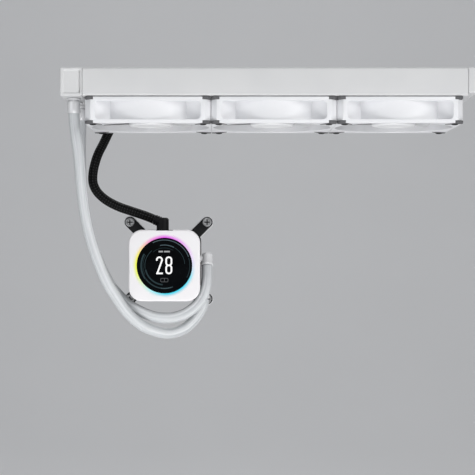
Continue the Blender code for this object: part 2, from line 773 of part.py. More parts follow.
# ---------------------------------------------------------------- pump head


def front_cap():
    """The square cap, a shell open at the back, with the round opening for the light ring."""
    shape = bmesh.new()
    rings = []
    for inset, level in ((CAP_EDGE, CAP_FRONT), (0.0, CAP_FRONT + CAP_EDGE), (0.0, CAP_BACK)):
        outline = rounded_square(CAP_WIDTH - 2 * inset, CAP_CORNER - inset, 5)
        rings.append([shape.verts.new((u, level, v)) for u, v in outline])
    for ring in (rings[0], rings[-1]):
        shape.faces.new(ring)
    for first, second in zip(rings, rings[1:]):
        for k in range(len(first)):
            after = (k + 1) % len(first)
            shape.faces.new((first[k], first[after], second[after], second[k]))
    hollow = prism(
        rounded_square(CAP_WIDTH - 2 * CAP_WALL, CAP_CORNER - CAP_WALL, 5),
        CAP_FRONT + CAP_WALL,
        CAP_BACK + CAP_WALL,
        "Y",
    )
    opening = prism(circle(LIGHT_RING_OUTER + GAP, FINE), CAP_FRONT - CAP_WALL, CAP_FRONT + 2 * CAP_WALL, "Y")
    return combined(mesh_of(shape), cut=[hollow, opening])


def light_ring():
    """The translucent ring between the cap and the screen."""
    inner = SCREEN_RADIUS + GAP
    profile = [
        (inner, CAP_FRONT),
        (LIGHT_RING_OUTER, CAP_FRONT),
        (LIGHT_RING_OUTER, CAP_FRONT + LIGHT_RING_DEPTH),
        (inner, CAP_FRONT + LIGHT_RING_DEPTH),
    ]
    return turned(profile, FINE, "Y")


def screen_glass():
    """The round cover glass, with a small bevel round its face."""
    front = CAP_FRONT - SCREEN_PROUD
    profile = [
        (0.0, front),
        (SCREEN_RADIUS - GLASS_BEVEL, front),
        (SCREEN_RADIUS, front + GLASS_BEVEL),
        (SCREEN_RADIUS, front + GLASS_THICKNESS),
        (0.0, front + GLASS_THICKNESS),
    ]
    return turned(profile, FINE, "Y")


def screen_panel():
    """The display panel behind the glass."""
    front = CAP_FRONT - SCREEN_PROUD + GLASS_THICKNESS + GAP
    return prism(circle(PANEL_RADIUS, MEDIUM), front, front + PANEL_THICKNESS, "Y")


def control_board():
    """The circuit board that drives the pump, the light ring and the screen."""
    half = BOARD_HALF_WIDTH
    return prism(rectangle(-half, half, -half, half), BOARD_FRONT, BOARD_BACK, "Y")


def pump_housing():
    """The block that holds the motor in front, the impeller in the middle and the fin chamber behind."""
    block = prism(rounded_square(HOUSING_WIDTH, HOUSING_CORNER), HOUSING_FRONT, HOUSING_BACK, "Y")
    flange = prism(
        rounded_square(HOUSING_FLANGE_WIDTH, HOUSING_CORNER), HOUSING_FLANGE_FRONT, HOUSING_BACK, "Y"
    )
    motor_room = turned(
        [
            (STATOR_INNER - GAP, HOUSING_FRONT - TANK_WALL),
            (STATOR_OUTER + GAP, HOUSING_FRONT - TANK_WALL),
            (STATOR_OUTER + GAP, MOTOR_ROOM_BACK),
            (STATOR_INNER - GAP, MOTOR_ROOM_BACK),
        ],
        MEDIUM,
        "Y",
    )
    rotor_room = prism(circle(ROTOR_RADIUS + ROTOR_CLEARANCE, MEDIUM), ROTOR_ROOM_FRONT, ROTOR_ROOM_BACK, "Y")
    impeller_circle = circle(IMPELLER_RADIUS + IMPELLER_CLEARANCE, MEDIUM)
    impeller_room = prism(impeller_circle, IMPELLER_ROOM_FRONT, CHAMBER_FRONT + GAP, "Y")
    half_chamber = CHAMBER_WIDTH / 2
    chamber = prism(
        rectangle(-half_chamber, half_chamber, -half_chamber, half_chamber),
        CHAMBER_FRONT,
        HOUSING_BACK + TANK_WALL,
        "Y",
    )
    side = HOUSING_WIDTH / 2
    ports = []
    for z in (UPPER_ELBOW_Z - PUMP_Z, LOWER_ELBOW_Z - PUMP_Z):
        hole = circle(ELBOW_HOLE_RADIUS, SMALL, (ELBOW_Y, z))
        ports.append(prism(hole, side - ELBOW_HOLE_DEPTH, side + TANK_WALL, "X"))
    return combined(block, added=[flange], cut=[motor_room, rotor_room, impeller_room, chamber, *ports])


def pump_impeller():
    """The magnet rotor with its impeller disc and straight vanes."""
    profile = [
        (0.0, ROTOR_FRONT),
        (ROTOR_RADIUS, ROTOR_FRONT),
        (ROTOR_RADIUS, DISC_FRONT),
        (IMPELLER_RADIUS, DISC_FRONT),
        (IMPELLER_RADIUS, DISC_BACK),
        (NOSE_RADIUS, DISC_BACK),
        (NOSE_RADIUS, NOSE_BACK),
        (0.0, NOSE_BACK),
    ]
    half = VANE_THICKNESS / 2
    vane = prism(rectangle(VANE_INNER, VANE_OUTER, -half, half), DISC_BACK - half, VANE_BACK, "Y")
    vanes = [moved(vane, turn=math.tau * k / IMPELLER_VANES, axis="Y") for k in range(IMPELLER_VANES)]
    return combined(turned(profile, MEDIUM, "Y"), added=vanes)


def pump_stator():
    """The pump motor's ring of coils."""
    profile = [
        (STATOR_INNER, COILS_FRONT),
        (STATOR_OUTER, COILS_FRONT),
        (STATOR_OUTER, COILS_BACK),
        (STATOR_INNER, COILS_BACK),
    ]
    return turned(profile, MEDIUM, "Y")


def plate_seal():
    """The flat gasket between the housing and the cold plate."""
    outer = rounded_square(SEAL_OUTER_WIDTH, PLATE_CORNER, 2)
    ring = prism(outer, HOUSING_BACK + SEAL_CLEARANCE, PLATE_FRONT - SEAL_CLEARANCE, "Y")
    inner = rounded_square(SEAL_INNER_WIDTH, SEAL_INNER_CORNER, 2)
    return combined(ring, cut=[prism(inner, HOUSING_BACK - TANK_WALL, HOUSING_BACK + TANK_WALL, "Y")])


def cold_plate():
    """The copper plate: a flat face at the back and a block of fins that reaches into the chamber."""
    plate = prism(rounded_square(PLATE_WIDTH, PLATE_CORNER, 2), PLATE_FRONT, PLATE_BACK, "Y")
    half = FIN_BLOCK_WIDTH / 2
    fins = prism(rectangle(-half, half, -half, half), FIN_BLOCK_FRONT, PLATE_FRONT + GAP, "Y")
    return combined(plate, added=[fins])


def screw_places():
    """Each thumb screw's name and its place across the pump head."""
    return {
        "upper_left": (THUMB_SCREW_LEFT, THUMB_SCREW_UP),
        "upper_right": (THUMB_SCREW_RIGHT, THUMB_SCREW_UP),
        "lower_left": (THUMB_SCREW_LEFT, THUMB_SCREW_DOWN),
        "lower_right": (THUMB_SCREW_RIGHT, THUMB_SCREW_DOWN),
    }


def capsule(first, second, radius, steps):
    """The outline of a bar with round ends from one point to another."""
    heading = math.degrees(math.atan2(second[1] - first[1], second[0] - first[0]))
    tail = arc(radius, heading + 90, heading + 270, steps, first)
    nose = arc(radius, heading - 90, heading + 90, steps, second)
    return tail + nose


def mounting_bracket():
    """The clamp frame round the housing, with a diagonal arm out to each thumb screw."""
    ring = prism(rounded_square(BRACKET_WIDTH, BRACKET_CORNER), BRACKET_FRONT, BRACKET_BACK, "Y")
    arms = []
    outlines = [rounded_square(HOUSING_WIDTH + 2 * GAP, HOUSING_CORNER)]
    for place in screw_places().values():
        reach = max(abs(side) for side in place) - (BRACKET_WIDTH / 2 - ARM_ROOT_INSET)
        root = tuple(side - math.copysign(reach, side) for side in place)
        arms.append(prism(capsule(root, place, BOSS_RADIUS, 4), BRACKET_FRONT, BRACKET_BACK, "Y"))
        outlines.append(circle(THUMB_SHANK_RADIUS + GAP, COARSE, place))
    holes = [prism(outline, BRACKET_FRONT - GAP, BRACKET_BACK + GAP, "Y") for outline in outlines]
    return combined(ring, added=arms, cut=holes)


def thumb_screw():
    """A thumb screw with a round head and a cross slot."""
    head_back = BRACKET_FRONT - GAP
    profile = [
        (0.0, THUMB_HEAD_FRONT),
        (THUMB_HEAD_RADIUS - THUMB_EDGE, THUMB_HEAD_FRONT),
        (THUMB_HEAD_RADIUS, THUMB_HEAD_FRONT + THUMB_EDGE),
        (THUMB_HEAD_RADIUS, head_back),
        (THUMB_SHANK_RADIUS, head_back),
        (THUMB_SHANK_RADIUS, THUMB_SHANK_END),
        (0.0, THUMB_SHANK_END),
    ]
    outline = rectangle(-SLOT_HALF_LENGTH, SLOT_HALF_LENGTH, -SLOT_HALF_WIDTH, SLOT_HALF_WIDTH)
    slot = prism(outline, THUMB_HEAD_FRONT - GAP, THUMB_HEAD_FRONT + SLOT_DEPTH, "Y")
    cross = moved(slot, turn=math.radians(90), axis="Y")
    return combined(turned(profile, MEDIUM, "Y"), cut=[slot, cross])


def elbow(axis_x):
    """A right-angled hose fitting: a spigot along -X into the housing and a barrel down to the hose."""
    barrel = turned(
        [
            (0.0, ELBOW_TOP),
            (ELBOW_RADIUS - ELBOW_ROUNDING, ELBOW_TOP),
            (ELBOW_RADIUS, ELBOW_TOP - ELBOW_ROUNDING),
            (ELBOW_RADIUS, ELBOW_RIM_START),
            (ELBOW_RIM_RADIUS, ELBOW_RIM_START - ELBOW_RIM_EDGE),
            (ELBOW_RIM_RADIUS, ELBOW_RIM_END),
            (0.0, ELBOW_RIM_END),
        ],
        MEDIUM,
    )
    inner_end = PUMP_X + HOUSING_WIDTH / 2 - ELBOW_SPIGOT_INSET - axis_x
    neck = prism(circle(ELBOW_NECK_RADIUS, SMALL), inner_end, 0.0, "X")
    spigot = prism(circle(ELBOW_SPIGOT_RADIUS, SMALL), inner_end, inner_end + ELBOW_SPIGOT_LENGTH, "X")
    return combined(barrel, added=[neck, spigot])


def cable_gland():
    """The angled outlet on top of the housing that the pump cable leaves."""
    foot = PUMP_Z + HOUSING_WIDTH / 2 + GAP - GLAND_Z
    barrel = turned(
        [
            (0.0, foot),
            (GLAND_RADIUS, foot),
            (GLAND_RADIUS, GLAND_TOP - GLAND_EDGE),
            (GLAND_RADIUS - GLAND_EDGE, GLAND_TOP),
            (0.0, GLAND_TOP),
        ],
        MEDIUM,
    )
    outlet = prism(circle(GLAND_OUTLET_RADIUS, MEDIUM), -GLAND_OUTLET_LENGTH, 0.0, "X")
    return combined(barrel, added=[moved(outlet, turn=GLAND_OUTLET_RISE, axis="Y")])


def build_pump_head(looks):
    """The pump head, its bracket and screws, and the two elbows on its side."""
    centre = centre_point("pump_axis", (PUMP_X, 0.0, PUMP_Z))
    parts = (
        ("front_cap", front_cap(), "white_plastic"),
        ("light_ring", light_ring(), "diffuser"),
        ("screen_glass", screen_glass(), "black_glass"),
        ("screen_panel", screen_panel(), "black_plastic"),
        ("control_board", control_board(), "circuit_board"),
        ("pump_stator", pump_stator(), "copper"),
        ("pump_housing", pump_housing(), "black_plastic"),
        ("pump_impeller", pump_impeller(), "black_plastic"),
        ("plate_seal", plate_seal(), "grey_rubber"),
        ("cold_plate", cold_plate(), "copper"),
        ("mounting_bracket", mounting_bracket(), "black_metal"),
    )
    for name, mesh, look in parts:
        piece(name, mesh, looks[look], parent=centre)
    screw = thumb_screw()
    for name, (x, z) in screw_places().items():
        piece(f"{name}_thumb_screw", screw, looks["nickel"], (x, 0.0, z), parent=centre)
    piece(
        "upper_elbow",
        elbow(UPPER_ELBOW_X),
        looks["white_plastic"],
        (UPPER_ELBOW_X, ELBOW_Y, UPPER_ELBOW_Z),
        (UPPER_ELBOW_SWING, 0.0, 0.0),
    )
    piece(
        "lower_elbow",
        elbow(LOWER_ELBOW_X),
        looks["white_plastic"],
        (LOWER_ELBOW_X, ELBOW_Y, LOWER_ELBOW_Z),
        (LOWER_ELBOW_SWING, 0.0, 0.0),
    )
    piece("cable_gland", cable_gland(), looks["black_plastic"], (GLAND_X, GLAND_Y, GLAND_Z))


# ---------------------------------------------------------------- hoses and cable


def cable_hank():
    """The outer shape of the folded cable: two runs side by side that open into a round fold."""
    neck = CABLE_DIAMETER + GAP
    turn = 180 - HANK_OPENING
    fold = arc(HANK_BULB_RADIUS, -turn, turn, HANK_FOLD_STEPS, (HANK_BULB_X, 0.0))
    outline = [(HANK_START_X, -neck), (HANK_LEAD_X, -neck), *fold, (HANK_LEAD_X, neck), (HANK_START_X, neck)]
    return prism(outline, -HANK_THICKNESS / 2, HANK_THICKNESS / 2, "Y")


def cable_tie():
    """The strap round the hank's two runs."""
    inner_y = HANK_THICKNESS / 2 + GAP
    inner_z = CABLE_DIAMETER + 2 * GAP
    outer_y = inner_y + TIE_THICKNESS
    outer_z = inner_z + TIE_THICKNESS
    band = prism(rectangle(-outer_y, outer_y, -outer_z, outer_z), 0.0, TIE_WIDTH, "X")
    hole = prism(rectangle(-inner_y, inner_y, -inner_z, inner_z), -GAP, TIE_WIDTH + GAP, "X")
    return combined(band, cut=[hole])


def cable_plug():
    """The connector on the cable's far end, with a row of contact openings."""
    half_y = CABLE_PLUG_THICKNESS / 2
    half_z = CABLE_PLUG_HEIGHT / 2
    body = prism(rectangle(-half_y, half_y, -half_z, half_z), -CABLE_PLUG_LENGTH, 0.0, "X")
    latch = prism(
        rectangle(
            half_y - GAP,
            half_y + CABLE_PLUG_LATCH_HEIGHT,
            -CABLE_PLUG_LATCH_HALF_WIDTH,
            CABLE_PLUG_LATCH_HALF_WIDTH,
        ),
        CABLE_PLUG_LATCH_INSET - CABLE_PLUG_LENGTH,
        -CABLE_PLUG_LATCH_INSET,
        "X",
    )
    openings = []
    half = CONTACT_HALF_WIDTH
    for k in (-1, 0, 1):
        z = CONTACT_SPACING * k
        slot = rectangle(-half, half, z - half, z + half)
        openings.append(prism(slot, -CABLE_PLUG_LENGTH - GAP, CONTACT_DEPTH - CABLE_PLUG_LENGTH, "X"))
    return combined(body, added=[latch], cut=openings)


def build_hoses_and_cable(looks):
    """The two hoses and the pump's cable with its hank, strap and connector."""
    tube("front_hose", FRONT_HOSE_ROUTE, HOSE_POINTS, HOSE_DIAMETER, looks["hose"])
    tube("rear_hose", REAR_HOSE_ROUTE, HOSE_POINTS, HOSE_DIAMETER, looks["hose"])
    tube("pump_cable", CABLE_ROUTE, CABLE_POINTS, CABLE_DIAMETER, looks["braid"])
    piece("cable_hank", cable_hank(), looks["braid"], (0.0, HANK_Y, HANK_Z))
    piece("cable_tie", cable_tie(), looks["black_plastic"], (TIE_X, HANK_Y, HANK_Z))
    run_z = HANK_Z + CABLE_DIAMETER / 2
    piece("cable_plug", cable_plug(), looks["black_plastic"], (HANK_START_X - GAP, HANK_Y, run_z))


def build():
    """The whole loop."""
    clear_scene()
    looks = {
        "white_metal": material("white_metal", (0.80, 0.80, 0.80), 0.45),
        "white_plastic": material("white_plastic", (0.86, 0.86, 0.88), 0.4),
        "hose": material("hose", (0.66, 0.69, 0.72), 0.45),
        "nickel": material("nickel", (0.72, 0.72, 0.73), 0.28, 1.0),
        "copper": material("copper", (0.72, 0.40, 0.24), 0.3, 1.0),
        "grey_rubber": material("grey_rubber", (0.13, 0.13, 0.14), 0.75),
        "black_plastic": material("black_plastic", (0.02, 0.02, 0.022), 0.5),
        "black_metal": material("black_metal", (0.02, 0.02, 0.022), 0.4, 0.6),
        "black_glass": material("black_glass", (0.005, 0.006, 0.009), 0.06),
        "diffuser": material("diffuser", (0.85, 0.7, 0.9), 0.4),
        "circuit_board": material("circuit_board", (0.02, 0.09, 0.05), 0.5),
        "braid": material("braid", (0.012, 0.012, 0.013), 0.85),
    }
    build_radiator(looks)
    build_fans(looks)
    build_pump_head(looks)
    build_hoses_and_cable(looks)


build()
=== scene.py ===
"""The looks of a sealed liquid cooling loop: a white radiator with three fans under it, two sleeved hoses,
and a pump head with a round screen in a glowing ring.

Everything is in metres in the frame of the solids: +X along the radiator, -Y the front and +Z up.
"""

import json
import math

import bmesh
import bpy
from mathutils import Matrix, Vector


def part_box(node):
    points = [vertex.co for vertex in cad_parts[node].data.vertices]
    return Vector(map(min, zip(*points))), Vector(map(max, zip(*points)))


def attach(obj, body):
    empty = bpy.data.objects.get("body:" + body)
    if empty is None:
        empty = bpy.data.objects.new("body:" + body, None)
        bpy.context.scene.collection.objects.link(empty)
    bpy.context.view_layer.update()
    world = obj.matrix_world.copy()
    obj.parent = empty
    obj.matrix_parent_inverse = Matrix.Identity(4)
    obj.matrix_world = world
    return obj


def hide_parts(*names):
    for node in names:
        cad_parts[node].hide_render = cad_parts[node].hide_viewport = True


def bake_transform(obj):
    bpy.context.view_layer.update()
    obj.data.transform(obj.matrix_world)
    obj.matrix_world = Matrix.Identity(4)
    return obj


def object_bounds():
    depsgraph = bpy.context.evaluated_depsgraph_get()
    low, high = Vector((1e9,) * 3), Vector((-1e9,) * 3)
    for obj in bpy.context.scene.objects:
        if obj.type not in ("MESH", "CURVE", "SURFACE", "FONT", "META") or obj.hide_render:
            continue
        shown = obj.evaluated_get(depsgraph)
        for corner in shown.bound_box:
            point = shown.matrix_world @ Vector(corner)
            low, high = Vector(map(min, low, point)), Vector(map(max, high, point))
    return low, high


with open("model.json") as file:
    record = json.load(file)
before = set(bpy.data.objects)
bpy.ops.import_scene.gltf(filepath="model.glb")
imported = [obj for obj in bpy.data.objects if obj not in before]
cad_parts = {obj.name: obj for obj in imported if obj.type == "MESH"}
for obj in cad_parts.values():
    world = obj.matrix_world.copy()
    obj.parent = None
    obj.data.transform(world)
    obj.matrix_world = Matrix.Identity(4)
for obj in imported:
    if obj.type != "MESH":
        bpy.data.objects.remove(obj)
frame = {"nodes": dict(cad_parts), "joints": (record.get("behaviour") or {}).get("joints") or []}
cad_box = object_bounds()
cap_low, cap_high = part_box("front_cap")

# Camera, lights and stage.
CAMERA_PLACE = (-0.0467, -1.478, -0.1777)
CAMERA_LENS = 113.3
SENSOR_WIDTH = 36.0
CAMERA_SHIFT = 0.0358
FARTHEST_VIEW = 50.0
FLOOR_DROP = 0.95
STAGE_COLOUR = (0.84, 0.84, 0.85)
STAGE_HALF_WIDTH = 12.0
STAGE_FRONT = -14.0
STAGE_BACK = 1.2
STAGE_BEND = 3.0
STAGE_HEIGHT = 8.0
WORLD_COLOUR = (0.95, 0.975, 1.0)
WORLD_STRENGTH = 0.30
OBJECT_MIDDLE = (-0.03, 0.0, -0.11)
BACKDROP_MIDDLE = (0.0, 4.2, 0.0)
WHITE = (1.0, 1.0, 1.0)
UNSTRETCHED = (1.0, 1.0, 1.0)

# Each light: name, place, what it is aimed at, width, power and colour.
LIGHTS = (
    ("key_light", (1.5, -1.5, 0.7), OBJECT_MIDDLE, 1.2, 22.0, WHITE),
    ("fill_light", (-1.5, -1.5, 0.1), OBJECT_MIDDLE, 1.8, 9.0, (0.96, 0.98, 1.0)),
    ("under_light", (-0.03, -0.85, -1.0), OBJECT_MIDDLE, 0.8, 9.5, WHITE),
    ("back_light", (0.0, 1.6, 1.0), OBJECT_MIDDLE, 1.4, 14.0, WHITE),
    ("backdrop_light", (0.0, 1.8, 2.0), BACKDROP_MIDDLE, 2.5, 12.0, WHITE),
)

# Gap that keeps touching pieces apart, the longest edge that counts as a sliver, and the widest angle in
# degrees that is shaded smoothly.
GAP = 0.0003
SLIVER = 0.00004
SMOOTH_ANGLE = 38.0
FIN_SMOOTH_ANGLE = 20.0
HOLE_STEPS = 24

# Radiator.
CORE_TUBES = 12
CORE_TUBE_WIDTH = 0.002
CORE_TUBE_HEIGHT = 0.017
FIN_HEIGHT = 0.015
FIN_PITCH = 0.0014
FIN_THICKNESS = 0.00016
SHEET_THICKNESS = 0.0012
SHEET_BEND = 0.0020
FLANGE_HOLE = 0.0017
PORT_BORE = 0.0032
PORT_NECK = 0.0043
PORT_STUB = 0.0049
COLLAR_BORE = 0.00568

# Fans.
FANS = (1, 2, 3)
FAN_CORNERS = ("rear_right", "rear_left", "front_left", "front_right")
FAN_WIDTH = 0.1196
FAN_HALF_DEPTH = 0.0125
FAN_BORE = 0.0575
DUCT_RADIUS = 0.0592
DUCT_LIP = 0.0011
POCKET_HALF_LENGTH = 0.0502
POCKET_HALF_HEIGHT = 0.009
POCKET_TURN = 0.0366
POCKET_END_DEPTH = 0.058
POCKET_CORNER = 0.0042
POCKET_REACH = 0.040
SCREW_SPACING = 0.105
CORNER_SLOPE = 0.0054
PAD_SIDE = 0.0078
PAD_INNER = 0.044
PAD_SEAT_DEPTH = 0.0026
PAD_PROUD = 0.0005
PAD_SLEEVE = 0.003
PAD_HOLE = 0.0022
FRAME_HOLE = 0.0033
BLADES = 7
BLADE_TIP = 0.0561
BLADE_STEPS = 14
BLADE_ROUNDING = 0.86
BLADE_SWEEP = 16.0
BLADE_SPAN = 33.0
BLADE_TOP = 0.0068
BLADE_FALL = 0.0143
HUB_RADIUS = 0.0215
HUB_LOW = -0.0110
HUB_HIGH = 0.0078
HUB_WALL = 0.0015
SHAFT_RADIUS = 0.0015
MOUNT_RADIUS = 0.021
STRUT_WIDTH = 0.0038
STRUT_DEPTH = 0.0035
STRUT_STEPS = 8
STRUT_BEND = 10.0
FAN_SCREW_HEAD = 0.0033

# Pump head.
PUMP_MIDDLE = Vector(((cap_low.x + cap_high.x) / 2, 0.0, (cap_low.z + cap_high.z) / 2))
CAP_CORNER = 0.0135
CAP_EDGE = 0.0017
CAP_WALL = 0.0018
CORNER_STEPS = 10
RING_STEPS = 128
HOUSING_WIDTH = 0.064
HOUSING_CORNER = 0.010
RIB_PITCH = 0.0055
HOUSING_FLANGE = 0.0024
ELBOW_HOLE = 0.0045
BASE_DEPTH = 0.0094
BASE_FINS = 30
BASE_FIN_PITCH = 0.001
BASE_FIN_THICKNESS = 0.0004
BASE_FIN_REACH = 0.015
BRACKET_WIDTH = 0.073
BRACKET_CORNER = 0.012
BRACKET_CHAMFER = 0.0006
BRACKET_OPENING = 0.0646
ARM_ROOT = 0.0305
BOSS_RADIUS = 0.0062
BOSS_HOLE = 0.0021
THUMB_SCREWS = ("upper_left", "upper_right", "lower_left", "lower_right")
THUMB_HEAD_DEPTH = 0.0050
KNURL_STEPS = 96
KNURL_DEPTH = 0.00022
THREAD_TURNS = 22
THREAD_CREST = 0.0018
THREAD_ROOT = 0.0015
ELBOW_RADIUS = 0.0056
ELBOW_RIM = 0.0062
SPIGOT_RADIUS = 0.0042
NECK_RADIUS = 0.0036
PIVOTS = {joint["child"]: joint["pos_m"] for joint in frame["joints"] if "swivel" in joint["name"]}
ELBOW_SWINGS = {"upper_elbow": -24.2, "lower_elbow": 0.0}

# The screen's marks: two digits, two small bars above them, an outlined mark below, and arcs round them,
# each arc given by its radius, its first and last angle in degrees and its width.
DIGIT_HALF_WIDTH = 0.0026
DIGIT_HALF_HEIGHT = 0.0080
DIGIT_STROKE = 0.0016
DIGIT_LIFT = 0.0003
TWO_OFFSET = -0.0049
EIGHT_OFFSET = 0.0044
LABEL_HEIGHT = 0.0139
LABEL_BARS = ((-0.0057, -0.0014), (-0.0004, 0.0054))
LABEL_WIDTH = 0.0015
UNIT_STROKE = 0.0005
ARC_STEPS = 40
SCREEN_LIFT = 0.00006
NARROWEST_MITRE = 0.6
DIM_ARCS = (
    (0.0230, 215, 150, 0.0016), (0.0226, 292, 216, 0.0012), (0.0212, 205, 150, 0.0004),
    (0.0190, 265, 192, 0.0014), (0.0203, 60, 5, 0.0005), (0.0193, 190, 130, 0.0006),
    (0.0175, 130, 60, 0.0003), (0.0252, 18, -28, 0.0006),
)
BRIGHT_ARCS = ((0.0254, 117, 20, 0.0008), (0.0204, 102, 62, 0.0008), (0.0226, 288, 262, 0.0007))

# The ring's colours from 180 degrees on its left, round below it and back, and where the glow painted onto
# the cap round the ring pales to the cap's white.
GLOW_STOPS = (
    (0.00, (0.86, 0.92, 0.06)), (0.05, (0.84, 0.92, 0.14)), (0.11, (0.72, 0.90, 0.62)),
    (0.17, (0.42, 0.85, 0.90)), (0.26, (0.03, 0.66, 0.86)), (0.36, (0.02, 0.66, 0.88)),
    (0.43, (0.20, 0.76, 0.90)), (0.49, (0.70, 0.78, 0.92)), (0.57, (0.82, 0.62, 0.92)),
    (0.66, (0.80, 0.28, 0.88)), (0.75, (0.74, 0.05, 0.80)), (0.83, (0.86, 0.26, 0.66)),
    (0.89, (0.94, 0.62, 0.34)), (0.94, (0.90, 0.84, 0.12)), (1.00, (0.86, 0.92, 0.06)),
)
PAINTED_GLOW_INNER = 0.0278
PAINTED_GLOW_OUTER = 0.0320
PAINTED_GLOW_FALL = 0.8
CAP_COLOUR = (0.82, 0.804, 0.814)

# Routes of the hoses and the cable, from their first end to their last.
FRONT_HOSE_ROUTE = (
    (-0.1880, -0.0380, -0.0350), (-0.1876, -0.0379, -0.0480), (-0.1861, -0.0367, -0.0630),
    (-0.1841, -0.0345, -0.0788), (-0.1826, -0.0322, -0.0970), (-0.1813, -0.0292, -0.1142),
    (-0.1788, -0.0248, -0.1364), (-0.1745, -0.0198, -0.1586), (-0.1679, -0.0142, -0.1811),
    (-0.1591, -0.0080, -0.2038), (-0.1509, -0.0030, -0.2180), (-0.1408, 0.0030, -0.2333),
    (-0.1288, 0.0090, -0.2453), (-0.1169, 0.0145, -0.2526), (-0.0998, 0.0220, -0.2568),
    (-0.0850, 0.0260, -0.2532), (-0.0750, 0.0290, -0.2457), (-0.0679, 0.0313, -0.2363),
    (-0.0644, 0.0323, -0.2290), (-0.0637, 0.0325, -0.2227),
)
REAR_HOSE_ROUTE = (
    (-0.1880, 0.0380, -0.0350), (-0.1882, 0.0379, -0.0480), (-0.1884, 0.0370, -0.0740),
    (-0.1876, 0.0350, -0.1020), (-0.1855, 0.0325, -0.1250), (-0.1812, 0.0300, -0.1480),
    (-0.1750, 0.0268, -0.1700), (-0.1672, 0.0230, -0.1890), (-0.1578, 0.0200, -0.2066),
    (-0.1479, 0.0182, -0.2190), (-0.1369, 0.0172, -0.2290), (-0.1170, 0.0178, -0.2388),
    (-0.1000, 0.0182, -0.2413), (-0.0848, 0.0188, -0.2382), (-0.0732, 0.0193, -0.2308),
    (-0.0654, 0.0197, -0.2215), (-0.0617, 0.0206, -0.2120), (-0.0605, 0.0231, -0.2035),
    (-0.0603, 0.0261, -0.1964), (-0.0603, 0.0291, -0.1897),
)
CABLE_ROUTE = (
    (-0.1143, 0.0380, -0.1419), (-0.1236, 0.0381, -0.1382), (-0.1385, 0.0405, -0.1332),
    (-0.1511, 0.0435, -0.1287), (-0.1633, 0.0450, -0.1222), (-0.1722, 0.0458, -0.1140),
    (-0.1766, 0.0462, -0.1045), (-0.1765, 0.0466, -0.0935), (-0.1740, 0.0480, -0.0820),
    (-0.1712, 0.0515, -0.0735), (-0.1683, 0.0575, -0.0665), (-0.1655, 0.0632, -0.0595),
    (-0.1620, 0.0658, -0.0515), (-0.1570, 0.0661, -0.0430), (-0.1500, 0.0661, -0.0362),
    (-0.1430, 0.0661, -0.0322), (-0.1375, 0.0661, -0.0317), (-0.1325, 0.0661, -0.0317),
)

# Each hose: its piece, route, length, node and the elbow that it ends in.
HOSES = (
    ("front_sleeved_hose", FRONT_HOSE_ROUTE, 0.320, "front_hose", "lower_elbow"),
    ("rear_sleeved_hose", REAR_HOSE_ROUTE, 0.325, "rear_hose", "upper_elbow"),
)
HOSE_DIAMETER = 0.0108
HOSE_STEPS = 10
HOSE_SIDES = 40
CABLE_DIAMETER = 0.0094
CABLE_STEPS = 6
CABLE_SIDES = 24
OUTLET_TOP = -0.1403
OUTLET_SLEEVE = 0.0088
OUTLET_DOME = 0.0026
OUTLET_RIBS = 4
OUTLET_CREST = 0.0052
OUTLET_GROOVE = 0.0048
STRAP_THICKNESS = 0.0006
LATCH_HEIGHT = 0.001
CONTACT_PITCH = 0.0026

# The hank: two straight runs and a keyhole fold behind the radiator.
HANK_Z = -0.027
HANK_Y = 0.0661
HANK_RUN_OFFSET = 0.0047
HANK_RUN_STEPS = 8
HANK_LEAD_X = -0.038
HANK_LEAD_STEPS = 5
HANK_FOLD_X = 0.001
HANK_FOLD_RADIUS = 0.0188
HANK_FOLD_OPENING = 65.0
HANK_FOLD_STEPS = 16


def grey(level, blue=0.0):
    """A neutral colour, with a little more blue if asked."""
    return (level, level, level + blue)


